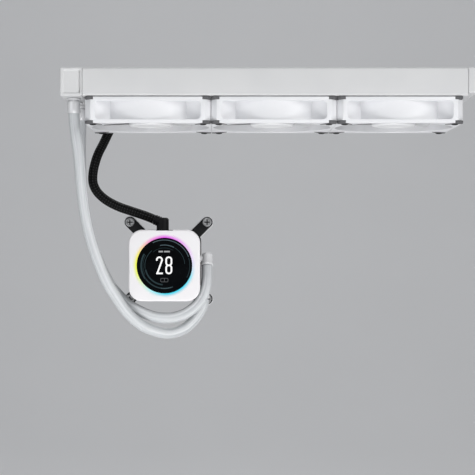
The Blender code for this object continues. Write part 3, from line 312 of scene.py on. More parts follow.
# Each surface: its colour, roughness and metallic share, its two tones with their scale, its grain's
# scale, strength and depth, its gloss's range and scale, and other sockets of its shader. The tones and
# the grain may end in a stretch along the axes.
SURFACES = {
    "white_coat": dict(
        colour=grey(0.65), roughness=0.42,
        tones=((0.625, 0.627, 0.63), grey(0.665), 18.0), grain=(900.0, 0.10, 0.00010),
        gloss=(0.36, 0.48, 60.0),
    ),
    "fin_coat": dict(
        colour=grey(0.70), roughness=0.5,
        tones=(grey(0.64, 0.005), grey(0.74), 240.0), grain=(1500.0, 0.15, 0.00008),
    ),
    "fan_plastic": dict(
        colour=grey(0.80, 0.02), roughness=0.36,
        tones=((0.785, 0.79, 0.81), grey(0.815, 0.015), 14.0), grain=(2200.0, 0.10, 0.00005),
        gloss=(0.32, 0.44, 90.0),
    ),
    # Painted shade: the blades are the hub's white plastic given a darker grey, for the shade inside the
    # duct.
    "blade_plastic_painted_shade": dict(
        colour=grey(0.56, 0.01), roughness=0.30,
        tones=(grey(0.52, 0.01), grey(0.60, 0.01), 22.0), grain=(1600.0, 0.05, 0.00005),
    ),
    "hub_plastic": dict(
        colour=grey(0.88, 0.01), roughness=0.28,
        tones=(grey(0.86, 0.01), grey(0.90, 0.01), 30.0), grain=(1600.0, 0.05, 0.00005),
    ),
    "pad_rubber": dict(
        colour=grey(0.11, 0.005), roughness=0.78,
        tones=(grey(0.095, 0.005), grey(0.13, 0.005), 500.0), grain=(3000.0, 0.3, 0.00008),
    ),
    "black_plastic": dict(
        colour=grey(0.010, 0.001), roughness=0.48, Specular_IOR_Level=0.15,
        tones=(grey(0.008, 0.001), grey(0.014, 0.001), 120.0), grain=(2600.0, 0.25, 0.00006),
        gloss=(0.42, 0.56, 150.0),
    ),
    "black_metal": dict(
        colour=grey(0.011, 0.001), roughness=0.36, Specular_IOR_Level=0.22,
        tones=(grey(0.009, 0.001), grey(0.015, 0.001), 80.0), grain=(1800.0, 0.2, 0.00006),
    ),
    "bare_edge": dict(
        colour=grey(0.80, 0.01), roughness=0.34, metallic=0.35,
        tones=(grey(0.74, 0.01), grey(0.86, 0.01), 900.0),
    ),
    "nickel": dict(
        colour=grey(0.72), roughness=0.24, metallic=1.0,
        tones=(grey(0.66, 0.005), grey(0.78), 260.0, (1.0, 1.0, 5.0)),
        grain=(700.0, 0.10, 0.00005, (1.0, 1.0, 9.0)), gloss=(0.20, 0.34, 300.0),
    ),
    "collar_metal": dict(
        colour=grey(0.74, 0.01), roughness=0.30, metallic=0.25,
        tones=(grey(0.71, 0.01), grey(0.77, 0.01), 300.0, (1.0, 1.0, 6.0)),
        grain=(800.0, 0.08, 0.00005, (1.0, 1.0, 8.0)),
    ),
    "copper": dict(
        colour=(0.72, 0.40, 0.25), roughness=0.28, metallic=1.0,
        tones=((0.69, 0.38, 0.235), (0.75, 0.42, 0.265), 500.0, (0.06, 1.0, 1.0)),
        grain=(900.0, 0.25, 0.00008, (0.03, 1.0, 1.0)), gloss=(0.24, 0.34, 90.0),
    ),
    "windings": dict(
        colour=(0.55, 0.22, 0.09), roughness=0.32, metallic=0.7,
        tones=((0.40, 0.15, 0.06), (0.66, 0.29, 0.13), 1500.0, (1.0, 1.0, 0.2)),
        grain=(1500.0, 0.5, 0.0002, (1.0, 1.0, 0.3)),
    ),
    "dark_glass": dict(
        colour=(0.0015, 0.0018, 0.0022), roughness=0.10, Specular_IOR_Level=0.08,
        tones=((0.0010, 0.0012, 0.0015), (0.0022, 0.0028, 0.0036), 60.0),
    ),
    "hose_fitting": dict(
        colour=(0.78, 0.785, 0.79), roughness=0.36,
        tones=((0.75, 0.755, 0.76), (0.81, 0.815, 0.82), 60.0), grain=(2400.0, 0.08, 0.00004),
    ),
    "strap_cloth": dict(
        colour=grey(0.015, 0.001), roughness=0.9, Sheen_Weight=0.4,
        tones=(grey(0.010, 0.001), grey(0.028, 0.002), 1400.0), grain=(2600.0, 0.8, 0.0002),
    ),
    "stage_paper": dict(
        colour=STAGE_COLOUR, roughness=0.9,
        tones=(tuple(0.985 * part for part in STAGE_COLOUR), STAGE_COLOUR, 3.0),
    ),
}

# Each lit mark on the screen: its colour and its strength.
SCREEN_LIGHTS = {
    "digit_light": (WHITE, 1.15),
    "label_light": ((0.40, 0.41, 0.42), 1.0),
    "unit_light": ((0.10, 0.105, 0.11), 1.0),
    "arc_light": ((0.075, 0.115, 0.13), 1.0),
    "dim_arc_light": ((0.022, 0.042, 0.048), 1.0),
}

# The solids that stay as they are, and their surfaces.
KEPT_NODES = {
    "control_board": "circuit_board",
    "pump_stator": "windings",
    "pump_impeller": "black_plastic",
    "plate_seal": "pad_rubber",
    "screen_panel": "black_plastic",
    **{f"fan_{number}_stator": "windings" for number in FANS},
}


# ---------------------------------------------------------------- materials


def new_material(name, colour, roughness, metallic=0.0, **sockets):
    """A Principled material. Further sockets are named with underscores for spaces."""
    made = bpy.data.materials.new(name)
    made.use_nodes = True
    shader = shader_of(made)
    shader.inputs["Base Color"].default_value = (*colour, 1.0)
    shader.inputs["Roughness"].default_value = roughness
    shader.inputs["Metallic"].default_value = metallic
    for socket, value in sockets.items():
        shader.inputs[socket.replace("_", " ")].default_value = value
    return made


def shader_of(made):
    """The material's Principled shader."""
    return made.node_tree.nodes["Principled BSDF"]


def add_node(made, kind, inputs=None, **settings):
    """A new node in a material, with settings and unlinked input values."""
    node = made.node_tree.nodes.new(kind)
    for name, value in settings.items():
        setattr(node, name, value)
    for name, value in (inputs or {}).items():
        node.inputs[name].default_value = value
    return node


def wire(made, source, output, target, socket):
    """Links one node's output to another's input."""
    made.node_tree.links.new(source.outputs[output], target.inputs[socket])


def coordinates(made, output="Object", stretch=UNSTRETCHED):
    """Surface coordinates, stretched along each axis."""
    mapping = add_node(made, "ShaderNodeMapping", {"Scale": stretch})
    wire(made, add_node(made, "ShaderNodeTexCoord"), output, mapping, "Vector")
    return mapping


def noise(made, place, scale, detail=3.0, roughness=0.5):
    """A noise texture on given coordinates."""
    node = add_node(made, "ShaderNodeTexNoise", {"Scale": scale, "Detail": detail, "Roughness": roughness})
    wire(made, place, "Vector", node, "Vector")
    return node


def ramp(made, source, output, stops):
    """A colour ramp through (place, colour) stops."""
    node = add_node(made, "ShaderNodeValToRGB")
    elements = node.color_ramp.elements
    while len(elements) < len(stops):
        elements.new(0.5)
    for element, (place, colour) in zip(elements, stops):
        element.position = place
        element.color = (*colour, 1.0)
    wire(made, source, output, node, "Fac")
    return node


def spread(made, source, output, start, end, low=0.0, high=1.0, **settings):
    """Maps a value from one range to another."""
    limits = {"From Min": start, "From Max": end, "To Min": low, "To Max": high}
    node = add_node(made, "ShaderNodeMapRange", limits, **settings)
    wire(made, source, output, node, "Value")
    return node


def combine(made, operation, first, second=None):
    """A math node on the values of other nodes, each given as (node, output), or on plain numbers."""
    node = add_node(made, "ShaderNodeMath", operation=operation)
    for index, value in enumerate((first, second)):
        if isinstance(value, tuple):
            wire(made, *value, node, index)
        elif value is not None:
            node.inputs[index].default_value = value
    return node, "Value"


def bump(made, source, output, strength, distance):
    """Bumps the surface by a height. Called again, it adds to the bump that is there."""
    node = add_node(made, "ShaderNodeBump", {"Strength": strength, "Distance": distance})
    normal = shader_of(made).inputs["Normal"]
    if normal.is_linked:
        made.node_tree.links.new(normal.links[0].from_socket, node.inputs["Normal"])
    wire(made, source, output, node, "Height")
    wire(made, node, "Normal", shader_of(made), "Normal")


def mottled(made, low, high, scale, stretch=UNSTRETCHED):
    """Varies the base colour softly between two tones."""
    cloud = noise(made, coordinates(made, "Object", stretch), scale)
    tones = ramp(made, cloud, "Fac", ((0.3, low), (0.7, high)))
    wire(made, tones, "Color", shader_of(made), "Base Color")


def grained(made, scale, strength, distance, stretch=UNSTRETCHED):
    """Adds the fine bump of a moulded, coated or brushed surface."""
    fine = noise(made, coordinates(made, "Object", stretch), scale, 4.0, 0.6)
    bump(made, fine, "Fac", strength, distance)


def uneven_gloss(made, low, high, scale):
    """Varies the roughness softly between two values."""
    cloud = noise(made, coordinates(made), scale)
    wire(made, spread(made, cloud, "Fac", 0.0, 1.0, low, high), "Result", shader_of(made), "Roughness")


def plain_surface(name, tones, grain=None, gloss=None, **basics):
    """A surface whose tone, fine bump and gloss vary softly."""
    made = new_material(name, **basics)
    mottled(made, *tones)
    if grain:
        grained(made, *grain)
    if gloss:
        uneven_gloss(made, *gloss)
    return made


def circuit_board():
    """Green solder mask with faint copper traces under it."""
    made = new_material("circuit_board", (0.015, 0.08, 0.045), 0.4)
    cells = add_node(made, "ShaderNodeTexVoronoi", {"Scale": 420.0}, distance="MANHATTAN")
    wire(made, coordinates(made), "Vector", cells, "Vector")
    tones = ramp(made, cells, "Distance", ((0.35, (0.015, 0.08, 0.045)), (0.6, (0.03, 0.14, 0.07))))
    wire(made, tones, "Color", shader_of(made), "Base Color")
    return made


def ring_colour_and_painted_glow(made):
    """The ring's colour by the angle round its centre; beyond the ring it pales to the cap's white with the
    distance from the centre, as a painted glow.
    """
    offset = add_node(made, "ShaderNodeVectorMath", operation="SUBTRACT")
    offset.inputs[1].default_value = PUMP_MIDDLE
    wire(made, add_node(made, "ShaderNodeTexCoord"), "Object", offset, 0)
    split = add_node(made, "ShaderNodeSeparateXYZ")
    wire(made, offset, "Vector", split, "Vector")
    angle = combine(made, "ARCTAN2", (split, "Z"), (split, "X"))
    colour = ramp(made, spread(made, *angle, -math.pi, math.pi), "Result", GLOW_STOPS)
    squares = [combine(made, "MULTIPLY", (split, axis), (split, axis)) for axis in ("X", "Z")]
    distance = combine(made, "SQRT", combine(made, "ADD", *squares))
    painted_glow_fade = spread(made, *distance, PAINTED_GLOW_INNER, PAINTED_GLOW_OUTER, interpolation_type="SMOOTHSTEP")
    mix = add_node(made, "ShaderNodeMix", data_type="RGBA")
    mix.inputs["B"].default_value = (*CAP_COLOUR, 1.0)
    wire(made, *combine(made, "POWER", (painted_glow_fade, "Result"), PAINTED_GLOW_FALL), mix, "Factor")
    wire(made, colour, "Color", mix, "A")
    return mix


def cap_white():
    """The cap's white plastic, with the ring's glow painted into its colour on the face round the ring."""
    made = new_material("cap_white", CAP_COLOUR, 0.34)
    # Painted glow: the base colour takes the ring's colours next to the ring and pales to the cap's white
    # away from it.
    wire(made, ring_colour_and_painted_glow(made), "Result", shader_of(made), "Base Color")
    grained(made, 2400.0, 0.06, 0.00004)
    uneven_gloss(made, 0.30, 0.40, 70.0)
    return made


def lit_diffuser():
    """The ring's translucent plastic, lit from behind in colours that change round it."""
    made = new_material("lit_diffuser", grey(0.02), 0.35, Emission_Strength=1.0, Specular_IOR_Level=0.1)
    wire(made, ring_colour_and_painted_glow(made), "Result", shader_of(made), "Emission Color")
    grained(made, 1500.0, 0.1, 0.00005)
    return made


def screen_light(name, colour, strength):
    """Lit marks on the screen, with the faint unevenness of a display."""
    made = new_material(name, grey(0.002), 0.3, Emission_Strength=strength, Specular_IOR_Level=0.1)
    cloud = noise(made, coordinates(made), 700.0, 2.0)
    dim = tuple(0.86 * part for part in colour)
    tones = ramp(made, cloud, "Fac", ((0.3, dim), (0.7, colour)))
    wire(made, tones, "Color", shader_of(made), "Emission Color")
    return made


def diamond_weave(made, around, along):
    """A braid's over-and-under height from two crossing diagonals on the cord's own coordinates."""
    split = add_node(made, "ShaderNodeSeparateXYZ")
    wire(made, add_node(made, "ShaderNodeTexCoord"), "UV", split, "Vector")
    across = combine(made, "MULTIPLY", (split, "X"), around * math.tau)
    lengthwise = combine(made, "MULTIPLY", (split, "Y"), along * math.tau)
    phases = [combine(made, operation, across, lengthwise) for operation in ("ADD", "SUBTRACT")]
    return combine(made, "MULTIPLY", *[combine(made, "SINE", phase) for phase in phases])


def hose_sleeve():
    """Pale grey sleeve: a fine weave, with soft streaks along it painted into its colour as sheen."""
    made = new_material("hose_sleeve", (0.60, 0.61, 0.62), 0.40, Sheen_Weight=0.1, Sheen_Roughness=0.4)
    streaks = noise(made, coordinates(made, "UV", (11.0, 6.0, 1.0)), 1.6)
    # Painted sheen: the streaks make the base colour lighter and darker along the sleeve.
    tones = ramp(made, streaks, "Fac", ((0.32, (0.47, 0.49, 0.505)), (0.66, (0.69, 0.705, 0.715))))
    wire(made, tones, "Color", shader_of(made), "Base Color")
    bump(made, streaks, "Fac", 0.25, 0.0004)
    bump(made, *diamond_weave(made, 18, 520.0), 0.55, 0.0001)
    return made


def cable_braid():
    """Black braided sleeve whose strands have highlights painted on them in diagonal dashes."""
    made = new_material("cable_braid", grey(0.004, 0.001), 0.5, Specular_IOR_Level=0.12)
    weave = diamond_weave(made, 5, 180.0)
    # Painted highlights: the raised parts of the weave take a lighter grey, as if catching the light.
    tones = ramp(made, *weave, ((0.35, grey(0.002)), (0.90, grey(0.036, 0.002))))
    wire(made, tones, "Color", shader_of(made), "Base Color")
    bump(made, *weave, 0.9, 0.0003)
    return made


# Every material, by its name.
LOOKS = {
    **{name: plain_surface(name, **settings) for name, settings in SURFACES.items()},
    **{name: screen_light(name, *settings) for name, settings in SCREEN_LIGHTS.items()},
    "circuit_board": circuit_board(),
    "cap_white": cap_white(),
    "lit_diffuser": lit_diffuser(),
    "hose_sleeve": hose_sleeve(),
    "cable_braid": cable_braid(),
}


# ---------------------------------------------------------------- shapes


def arc(radius, start, end, steps, centre=(0.0, 0.0)):
    """Points on an arc, both ends included, with the angles in degrees."""
    points = []
    for k in range(steps + 1):
        angle = math.radians(start + (end - start) * k / steps)
        points.append((centre[0] + radius * math.cos(angle), centre[1] + radius * math.sin(angle)))
    return points


def circle(radius, steps, centre=(0.0, 0.0)):
    """Evenly spaced points round a circle."""
    return arc(radius, 0, 360, steps, centre)[:-1]


def rectangle(low_u, high_u, low_v, high_v, corner=0.0, steps=5):
    """A rectangle's corners, rounded if a corner radius is given."""
    if not corner:
        return [(low_u, low_v), (high_u, low_v), (high_u, high_v), (low_u, high_v)]
    places = (
        (high_u - corner, high_v - corner),
        (low_u + corner, high_v - corner),
        (low_u + corner, low_v + corner),
        (high_u - corner, low_v + corner),
    )
    outline = []
    for k, place in enumerate(places):
        outline += arc(corner, 90 * k, 90 * k + 90, steps, place)
    return outline


def square(width, corner=0.0, steps=8):
    """A square outline about the origin."""
    return rectangle(-width / 2, width / 2, -width / 2, width / 2, corner, steps)


def capsule(first, second, radius):
    """The outline of a bar with round ends from one point to another."""
    heading = math.degrees(math.atan2(second[1] - first[1], second[0] - first[0]))
    tail = arc(radius, heading + 90, heading + 270, 12, first)
    return tail + arc(radius, heading - 90, heading + 90, 12, second)


def placed(u, v, level, axis):
    """A point from its place across an axis and its level along it."""
    return {"X": (level, u, v), "Y": (u, level, v), "Z": (u, v, level)}[axis]


def new_object(name, data):
    """A new object in the scene."""
    made = bpy.data.objects.new(name, data)
    bpy.context.scene.collection.objects.link(made)
    return made


def mesh_of(shape, closed=True):
    """The mesh of a bmesh, with its faces turned outwards if it is closed."""
    if closed:
        bmesh.ops.recalc_face_normals(shape, faces=shape.faces)
    mesh = bpy.data.meshes.new("shape")
    shape.to_mesh(mesh)
    shape.free()
    return mesh


def loft(outlines, axis="Z"):
    """A closed solid through (outline, level) pairs whose outlines have the same number of points."""
    shape = bmesh.new()
    rings = []
    for outline, level in outlines:
        rings.append([shape.verts.new(placed(u, v, level, axis)) for u, v in outline])
    shape.faces.new(rings[0])
    shape.faces.new(rings[-1])
    for first, second in zip(rings, rings[1:]):
        for k in range(len(first)):
            after = (k + 1) % len(first)
            shape.faces.new((first[k], first[after], second[after], second[k]))
    return mesh_of(shape)


def prism(outline, low, high, axis="Z"):
    """An outline extruded from low to high along an axis."""
    return loft([(outline, low), (outline, high)], axis)


def turned(profile, steps=64, axis="Z"):
    """A loop of (radius, level) points turned into a solid round an axis through the origin."""
    shape = bmesh.new()
    rings = []
    for radius, level in profile:
        ring = circle(radius, steps) if radius else [(0.0, 0.0)]
        rings.append([shape.verts.new(placed(u, v, level, axis)) for u, v in ring])
    for first, second in zip(rings, rings[1:] + rings[:1]):
        for k in range(steps):
            corners = dict.fromkeys((
                first[k % len(first)],
                first[(k + 1) % len(first)],
                second[(k + 1) % len(second)],
                second[k % len(second)],
            ))
            if len(corners) > 2:
                shape.faces.new(list(corners))
    return mesh_of(shape)


def rounded_box(low, high, corner, steps=4):
    """A box whose edges are all rounded."""
    shape = bmesh.new()
    bmesh.ops.create_cube(shape, size=1.0)
    low, high = Vector(low), Vector(high)
    shape.transform(Matrix.Translation((low + high) / 2) @ Matrix.Diagonal((*(high - low), 1.0)))
    bmesh.ops.bevel(shape, geom=shape.edges, offset=corner, segments=steps, profile=0.5, affect="EDGES")
    return mesh_of(shape)


def moved(mesh, place=(0.0, 0.0, 0.0), turn=0.0, axis="Z"):
    """A copy of a mesh, turned in degrees about an axis through the origin and then shifted."""
    copy = mesh.copy()
    copy.transform(Matrix.Translation(place) @ Matrix.Rotation(math.radians(turn), 4, axis))
    return copy


def baked(mesh, modifiers):
    """The mesh after a row of modifiers, each given as (type, settings)."""
    body = new_object("body", mesh)
    for kind, settings in modifiers:
        modifier = body.modifiers.new(kind, kind)
        for name, value in settings.items():
            setattr(modifier, name, value)
    bpy.context.view_layer.update()
    result = bpy.data.meshes.new_from_object(body.evaluated_get(bpy.context.evaluated_depsgraph_get()))
    bpy.data.objects.remove(body, do_unlink=True)
    return result


def booleans(mesh, added=(), cut=(), common=()):
    """The mesh with others joined on, others cut away, and only what is common with the last kept."""
    helpers = []
    modifiers = []
    for operation, others in (("UNION", added), ("DIFFERENCE", cut), ("INTERSECT", common)):
        for other in others:
            helpers.append(new_object("helper", other))
            settings = {"operation": operation, "solver": "EXACT", "object": helpers[-1]}
            modifiers.append(("BOOLEAN", settings))
    result = baked(mesh, modifiers)
    for helper in helpers:
        bpy.data.objects.remove(helper, do_unlink=True)
    return result


def soft_edges(mesh, width, segments=2, angle=32.0):
    """The mesh with its slivers merged and its edges rounded where they are sharper than an angle."""
    settings = {
        "width": width,
        "segments": segments,
        "limit_method": "ANGLE",
        "angle_limit": math.radians(angle),
        "use_clamp_overlap": True,
        "miter_outer": "MITER_ARC",
    }
    return baked(mesh, [("WELD", {"merge_threshold": SLIVER}), ("BEVEL", settings)])


def joined(meshes):
    """Several meshes as one."""
    shape = bmesh.new()
    for mesh in meshes:
        shape.from_mesh(mesh)
    return mesh_of(shape, closed=False)


def painted(meshes, looks):
    """Several meshes as one, each taking its own of the looks."""
    for index, mesh in enumerate(meshes):
        mesh.polygons.foreach_set("material_index", [index] * len(mesh.polygons))
    body = joined(meshes)
    for look in looks:
        body.materials.append(LOOKS[look])
    return body


def show(name, mesh, look, *nodes, body="root", place=(0.0, 0.0, 0.0), angle=SMOOTH_ANGLE):
    """A visible piece made from a mesh, which rides on a body and may stand for nodes."""
    piece = new_object(name, mesh)
    mesh.shade_smooth()
    mesh.set_sharp_from_angle(angle=math.radians(angle))
    if not mesh.materials:
        mesh.materials.append(LOOKS[look])
    piece.location = place
    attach(piece, body)
    if nodes:
        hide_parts(*nodes)
    return piece


def middle_of(node):
    """The middle of a solid's box."""
    low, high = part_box(node)
    return (low + high) / 2


def smooth_path(route, steps):
    """Points along one smooth curve through a route's points."""
    places = [Vector(point) for point in route]
    ends = [2 * places[0] - places[1], *places, 2 * places[-1] - places[-2]]
    path = []
    for a, b, c, d in zip(ends, ends[1:], ends[2:], ends[3:]):
        for k in range(steps):
            t = k / steps
            bend = (2 * a - 5 * b + 4 * c - d) * t**2
            twist = (3 * b - a - 3 * c + d) * t**3
            path.append((2 * b + (c - a) * t + bend + twist) / 2)
    path.append(places[-1])
    return path


def tube(path, radius, sides):
    """A round tube along a path, with coordinates round it and along it in metres on its surface."""
    shape = bmesh.new()
    surface = shape.loops.layers.uv.new("UVMap")
    rings = []
    travelled = [0.0]
    heading = (path[1] - path[0]).normalized()
    side = heading.orthogonal().normalized()
    for k, point in enumerate(path):
        if k:
            travelled.append(travelled[-1] + (point - path[k - 1]).length)
        ahead = (path[min(k + 1, len(path) - 1)] - path[max(k - 1, 0)]).normalized()
        side = (heading.rotation_difference(ahead) @ side).normalized()
        heading = ahead
        up = heading.cross(side)
        rings.append([shape.verts.new(point + u * side + v * up) for u, v in circle(radius, sides)])
    for k in range(len(rings) - 1):
        for j in range(sides):
            spots = ((j, k), (j + 1, k), (j + 1, k + 1), (j, k + 1))
            face = shape.faces.new([rings[along][around % sides] for around, along in spots])
            for loop, (around, along) in zip(face.loops, spots):
                loop[surface].uv = (around / sides, travelled[along])
    shape.faces.new(rings[0])
    shape.faces.new(list(reversed(rings[-1])))
    return mesh_of(shape)


def ribbon(points, width, closed=False):
    """A flat band of even width along points in the plane of the screen."""
    shape = bmesh.new()
    pairs = []
    count = len(points)
    for k, point in enumerate(points):
        before = points[k - 1] if closed or k else point
        after = points[(k + 1) % count] if closed or k < count - 1 else point
        heading = (Vector(after) - Vector(before)).normalized()
        incoming = (Vector(point) - Vector(before)).normalized() if point != before else heading
        stretch = 1.0 / max(abs(incoming.dot(heading)), NARROWEST_MITRE)
        reach = heading.orthogonal() * width / 2 * stretch
        ends = (Vector(point) + reach, Vector(point) - reach)
        pairs.append([shape.verts.new((end.x, 0.0, end.y)) for end in ends])
    for first, second in zip(pairs, pairs[1:] + pairs[:1] if closed else pairs[1:]):
        shape.faces.new((first[0], first[1], second[1], second[0]))
    return mesh_of(shape, closed=False)


# ---------------------------------------------------------------- camera, light and stage


def add_camera():
    """The camera looks level along +Y, from a metre and a half in front of the radiator."""
    data = bpy.data.cameras.new("camera")
    data.lens = CAMERA_LENS
    data.sensor_width = SENSOR_WIDTH
    data.shift_x = CAMERA_SHIFT
    data.shift_y = CAMERA_SHIFT
    data.clip_end = FARTHEST_VIEW
    camera = new_object("camera", data)
    camera.location = CAMERA_PLACE
    camera.rotation_euler = (math.radians(90), 0.0, 0.0)
    bpy.context.scene.camera = camera
    bpy.context.scene.view_settings.view_transform = "Standard"


def add_light(name, place, target, size, power, colour):
    """A soft square light aimed at a point."""
    data = bpy.data.lights.new(name, "AREA")
    data.size = size
    data.energy = power
    data.color = colour
    light = new_object(name, data)
    light.location = place
    light.rotation_euler = (Vector(target) - Vector(place)).to_track_quat("-Z", "Y").to_euler()


def add_stage(floor_level):
    """A pale floor that curves up into a backdrop, and an even, faint light from all around."""
    world = bpy.data.worlds.new("studio")
    world.use_nodes = True
    background = world.node_tree.nodes["Background"]
    background.inputs["Color"].default_value = (*WORLD_COLOUR, 1.0)
    background.inputs["Strength"].default_value = WORLD_STRENGTH
    bpy.context.scene.world = world
    curve = arc(STAGE_BEND, -90, 0, 10, (STAGE_BACK, STAGE_BEND))
    line = [(STAGE_FRONT, 0.0), *curve, (STAGE_BACK + STAGE_BEND, STAGE_HEIGHT)]
    shape = bmesh.new()
    sides = []
    for x in (-STAGE_HALF_WIDTH, STAGE_HALF_WIDTH):
        sides.append([shape.verts.new((x, y, floor_level + z)) for y, z in line])
    for k in range(len(line) - 1):
        shape.faces.new((sides[0][k], sides[1][k], sides[1][k + 1], sides[0][k + 1]))
    floor = new_object("stage_floor", mesh_of(shape, closed=False))
    floor.data.shade_smooth()
    floor.data.materials.append(LOOKS["stage_paper"])


# ---------------------------------------------------------------- hoses and cable


def hank_path():
    """The cable's path through its hank: along the lower run, round the fold and back."""
    start = CABLE_ROUTE[-1][0]
    low, high = HANK_Z - HANK_RUN_OFFSET, HANK_Z + HANK_RUN_OFFSET
    shares = [k / HANK_RUN_STEPS for k in range(1, HANK_RUN_STEPS + 1)]
    lower = [(start + share * (HANK_LEAD_X - start), HANK_Y, low) for share in shares]
    turn = 180 - HANK_FOLD_OPENING
    curve = arc(HANK_FOLD_RADIUS, -turn, turn, HANK_FOLD_STEPS, (HANK_FOLD_X, HANK_Z))
    fold = [(x, HANK_Y, z) for x, z in curve]
    away = [Vector(lower[-1]).lerp(fold[0], k / HANK_LEAD_STEPS) for k in range(1, HANK_LEAD_STEPS)]
    back = [(x, y, 2 * HANK_Z - z) for x, y, z in reversed(away)]
    upper = [(x, y, high) for x, y, _ in reversed(lower)]
    return [*lower, *away, *fold, *back, *upper, (start, HANK_Y, high)]


def build_hoses():
    """Both hoses, each a sleeved tube along its route from the radiator to its elbow."""
    for name, route, length, node, body in HOSES:
        path = smooth_path(route, HOSE_STEPS)
        hose = new_object(name, tube(path, HOSE_DIAMETER / 2, HOSE_SIDES))
        hose.data.shade_smooth()
        hose.data.materials.append(LOOKS["hose_sleeve"])
        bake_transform(hose)
        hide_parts(node)


def build_cable():
    """The pump's cable with its outlet on the pump head, its hank, the hank's strap and the connector."""
    path = smooth_path((*CABLE_ROUTE, *hank_path()), CABLE_STEPS)
    braid = tube(path, CABLE_DIAMETER / 2, CABLE_SIDES)
    cable = show("sleeved_cable", braid, "cable_braid", "pump_cable", "cable_hank")
    strap = show("hank_strap", hank_strap(), "strap_cloth", "cable_tie")
    plug = show("cable_connector", cable_connector(), "black_plastic", "cable_plug")
    show("cable_outlet", cable_outlet(), "black_plastic", "cable_gland")


def hank_strap():
    """A soft band round the hank's two runs, with its loose end overlapping."""
    low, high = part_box("cable_tie")
    half = (high - low) / 2
    outer = rectangle(-half.y, half.y, -half.z, half.z, 0.0035, 6)
    inner_y, inner_z = half.y - STRAP_THICKNESS, half.z - STRAP_THICKNESS
    inner = rectangle(-inner_y, inner_y, -inner_z, inner_z, 0.0030, 6)
    band = booleans(prism(outer, low.x, high.x, "X"), cut=[prism(inner, low.x - GAP, high.x + GAP, "X")])
    end = rectangle(half.y - GAP / 2, half.y + 0.0009, -half.z * 0.55, half.z * 0.65, 0.0004, 2)
    flap = prism(end, low.x + 0.0004, high.x - 0.0004, "X")
    middle = middle_of("cable_tie")
    return moved(joined([soft_edges(band, 0.00015), soft_edges(flap, 0.00025)]), (0.0, middle.y, middle.z))


def cable_connector():
    """The connector: a keyed housing with a latch, three contact openings and grip grooves."""
    low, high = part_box("cable_plug")
    top = high.y - LATCH_HEIGHT
    middle_y, middle_z = (low.y + top) / 2, (low.z + high.z) / 2
    body = prism(rectangle(low.y, top, low.z, high.z, 0.0008, 3), low.x, high.x, "X")
    cuts = []
    for k in (-1, 0, 1):
        z = middle_z + CONTACT_PITCH * k
        opening = rectangle(middle_y - 0.0009, middle_y + 0.0009, z - 0.0009, z + 0.0009)
        cuts.append(prism(opening, low.x - GAP, low.x + 0.006, "X"))
    for k in range(5):
        x = high.x - 0.004 - 0.0016 * k
        groove = rectangle(x, x + 0.0007, low.y - GAP, top + GAP)
        for side in (low.z, high.z):
            cuts.append(prism(groove, side - 0.0003, side + 0.0003))
    latch = rectangle(top - GAP, high.y, middle_z - 0.0015, middle_z + 0.0015)
    arm = prism(latch, low.x + 0.004, high.x - 0.006, "X")
    return soft_edges(booleans(body, added=[arm], cut=cuts), 0.0002)


def cable_outlet():
    """The cable's angled outlet: a domed barrel with a ribbed sleeve that grips the cable."""
    low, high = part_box("cable_gland")
    end = Vector(CABLE_ROUTE[0])
    ahead = (Vector(CABLE_ROUTE[1]) - end).normalized()
    radius = (high.y - low.y) / 2
    dome = arc(OUTLET_DOME, 0, 90, 8, (radius - OUTLET_DOME, OUTLET_TOP - OUTLET_DOME))
    shoulder = (radius, OUTLET_TOP - 0.008)
    barrel = turned([(0.0, low.z), (radius, low.z), shoulder, *dome, (0.0, OUTLET_TOP)], 48)
    sleeve = []
    for k in range(OUTLET_RIBS):
        near = -OUTLET_SLEEVE + k * OUTLET_SLEEVE / OUTLET_RIBS
        sleeve += [(OUTLET_CREST, near), (OUTLET_CREST, near + 0.0013)]
        sleeve += [(OUTLET_GROOVE, near + 0.0015), (OUTLET_GROOVE, near + 0.0021)]
    ribs = turned([(0.0, -OUTLET_SLEEVE), *sleeve, (OUTLET_CREST, 0.0), (0.0, 0.0)], 40)
    ribs.transform(ahead.to_track_quat("Z", "Y").to_matrix().to_4x4())
    upright = (high.x - radius, (low.y + high.y) / 2, 0.0)
    return joined([moved(barrel, upright), moved(ribs, end - ahead * 0.0004)])


# ---------------------------------------------------------------- radiator


def hose_tank():
    """The hose tank: a folded box with a sunk panel whose sides slope, and a seam beside the core."""
    low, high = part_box("hose_end_tank")
    cuts = []
    rim = rectangle(low.x + 0.0024, high.x - 0.0013, low.z + 0.0021, high.z - 0.0021, 0.0016, 5)
    floor = rectangle(low.x + 0.0034, high.x - 0.0028, low.z + 0.0031, high.z - 0.0031, 0.0010, 5)
    channel = rectangle(high.x - 0.0034, high.x - 0.0019, low.z + 0.0026, high.z - 0.0026, 0.0007, 5)
    for face, inward in ((low.y, 1), (high.y, -1)):
        outlines = [(rim, face - inward * GAP), (rim, face), (floor, face + inward * 0.0008)]
        cuts.append(loft(outlines[::inward], "Y"))
        cuts.append(prism(channel, *sorted((face + inward * GAP, face + inward * 0.0020)), "Y"))
    seam = high.x - 0.0007
    around = Vector((0.0, GAP, GAP))
    inside = Vector((0.0, 0.0005, 0.0005))
    start = Vector((seam, low.y, low.z))
    end = Vector((seam, high.y, high.z))
    ring = rounded_box(start - around, end + around + Vector((0.0005, 0.0, 0.0)), 0.0001, 1)
    core_low = start + inside - Vector((GAP, 0.0, 0.0))
    core = rounded_box(core_low, end - inside + Vector((0.001, 0.0, 0.0)), 0.0001, 1)
    cuts.append(booleans(ring, cut=[core]))
    return soft_edges(booleans(rounded_box(low, high, 0.0009), cut=cuts), 0.00022)


def far_tank():
    """The shallower end tank, with a sunk panel on its end."""
    low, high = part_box("far_end_tank")
    panel = rectangle(low.y + 0.008, high.y - 0.008, low.z + 0.004, high.z - 0.004, 0.003, 6)
    cut = prism(panel, high.x - 0.0005, high.x + 0.001, "X")
    return soft_edges(booleans(rounded_box(low, high, 0.0012), cut=[cut]), 0.0002)


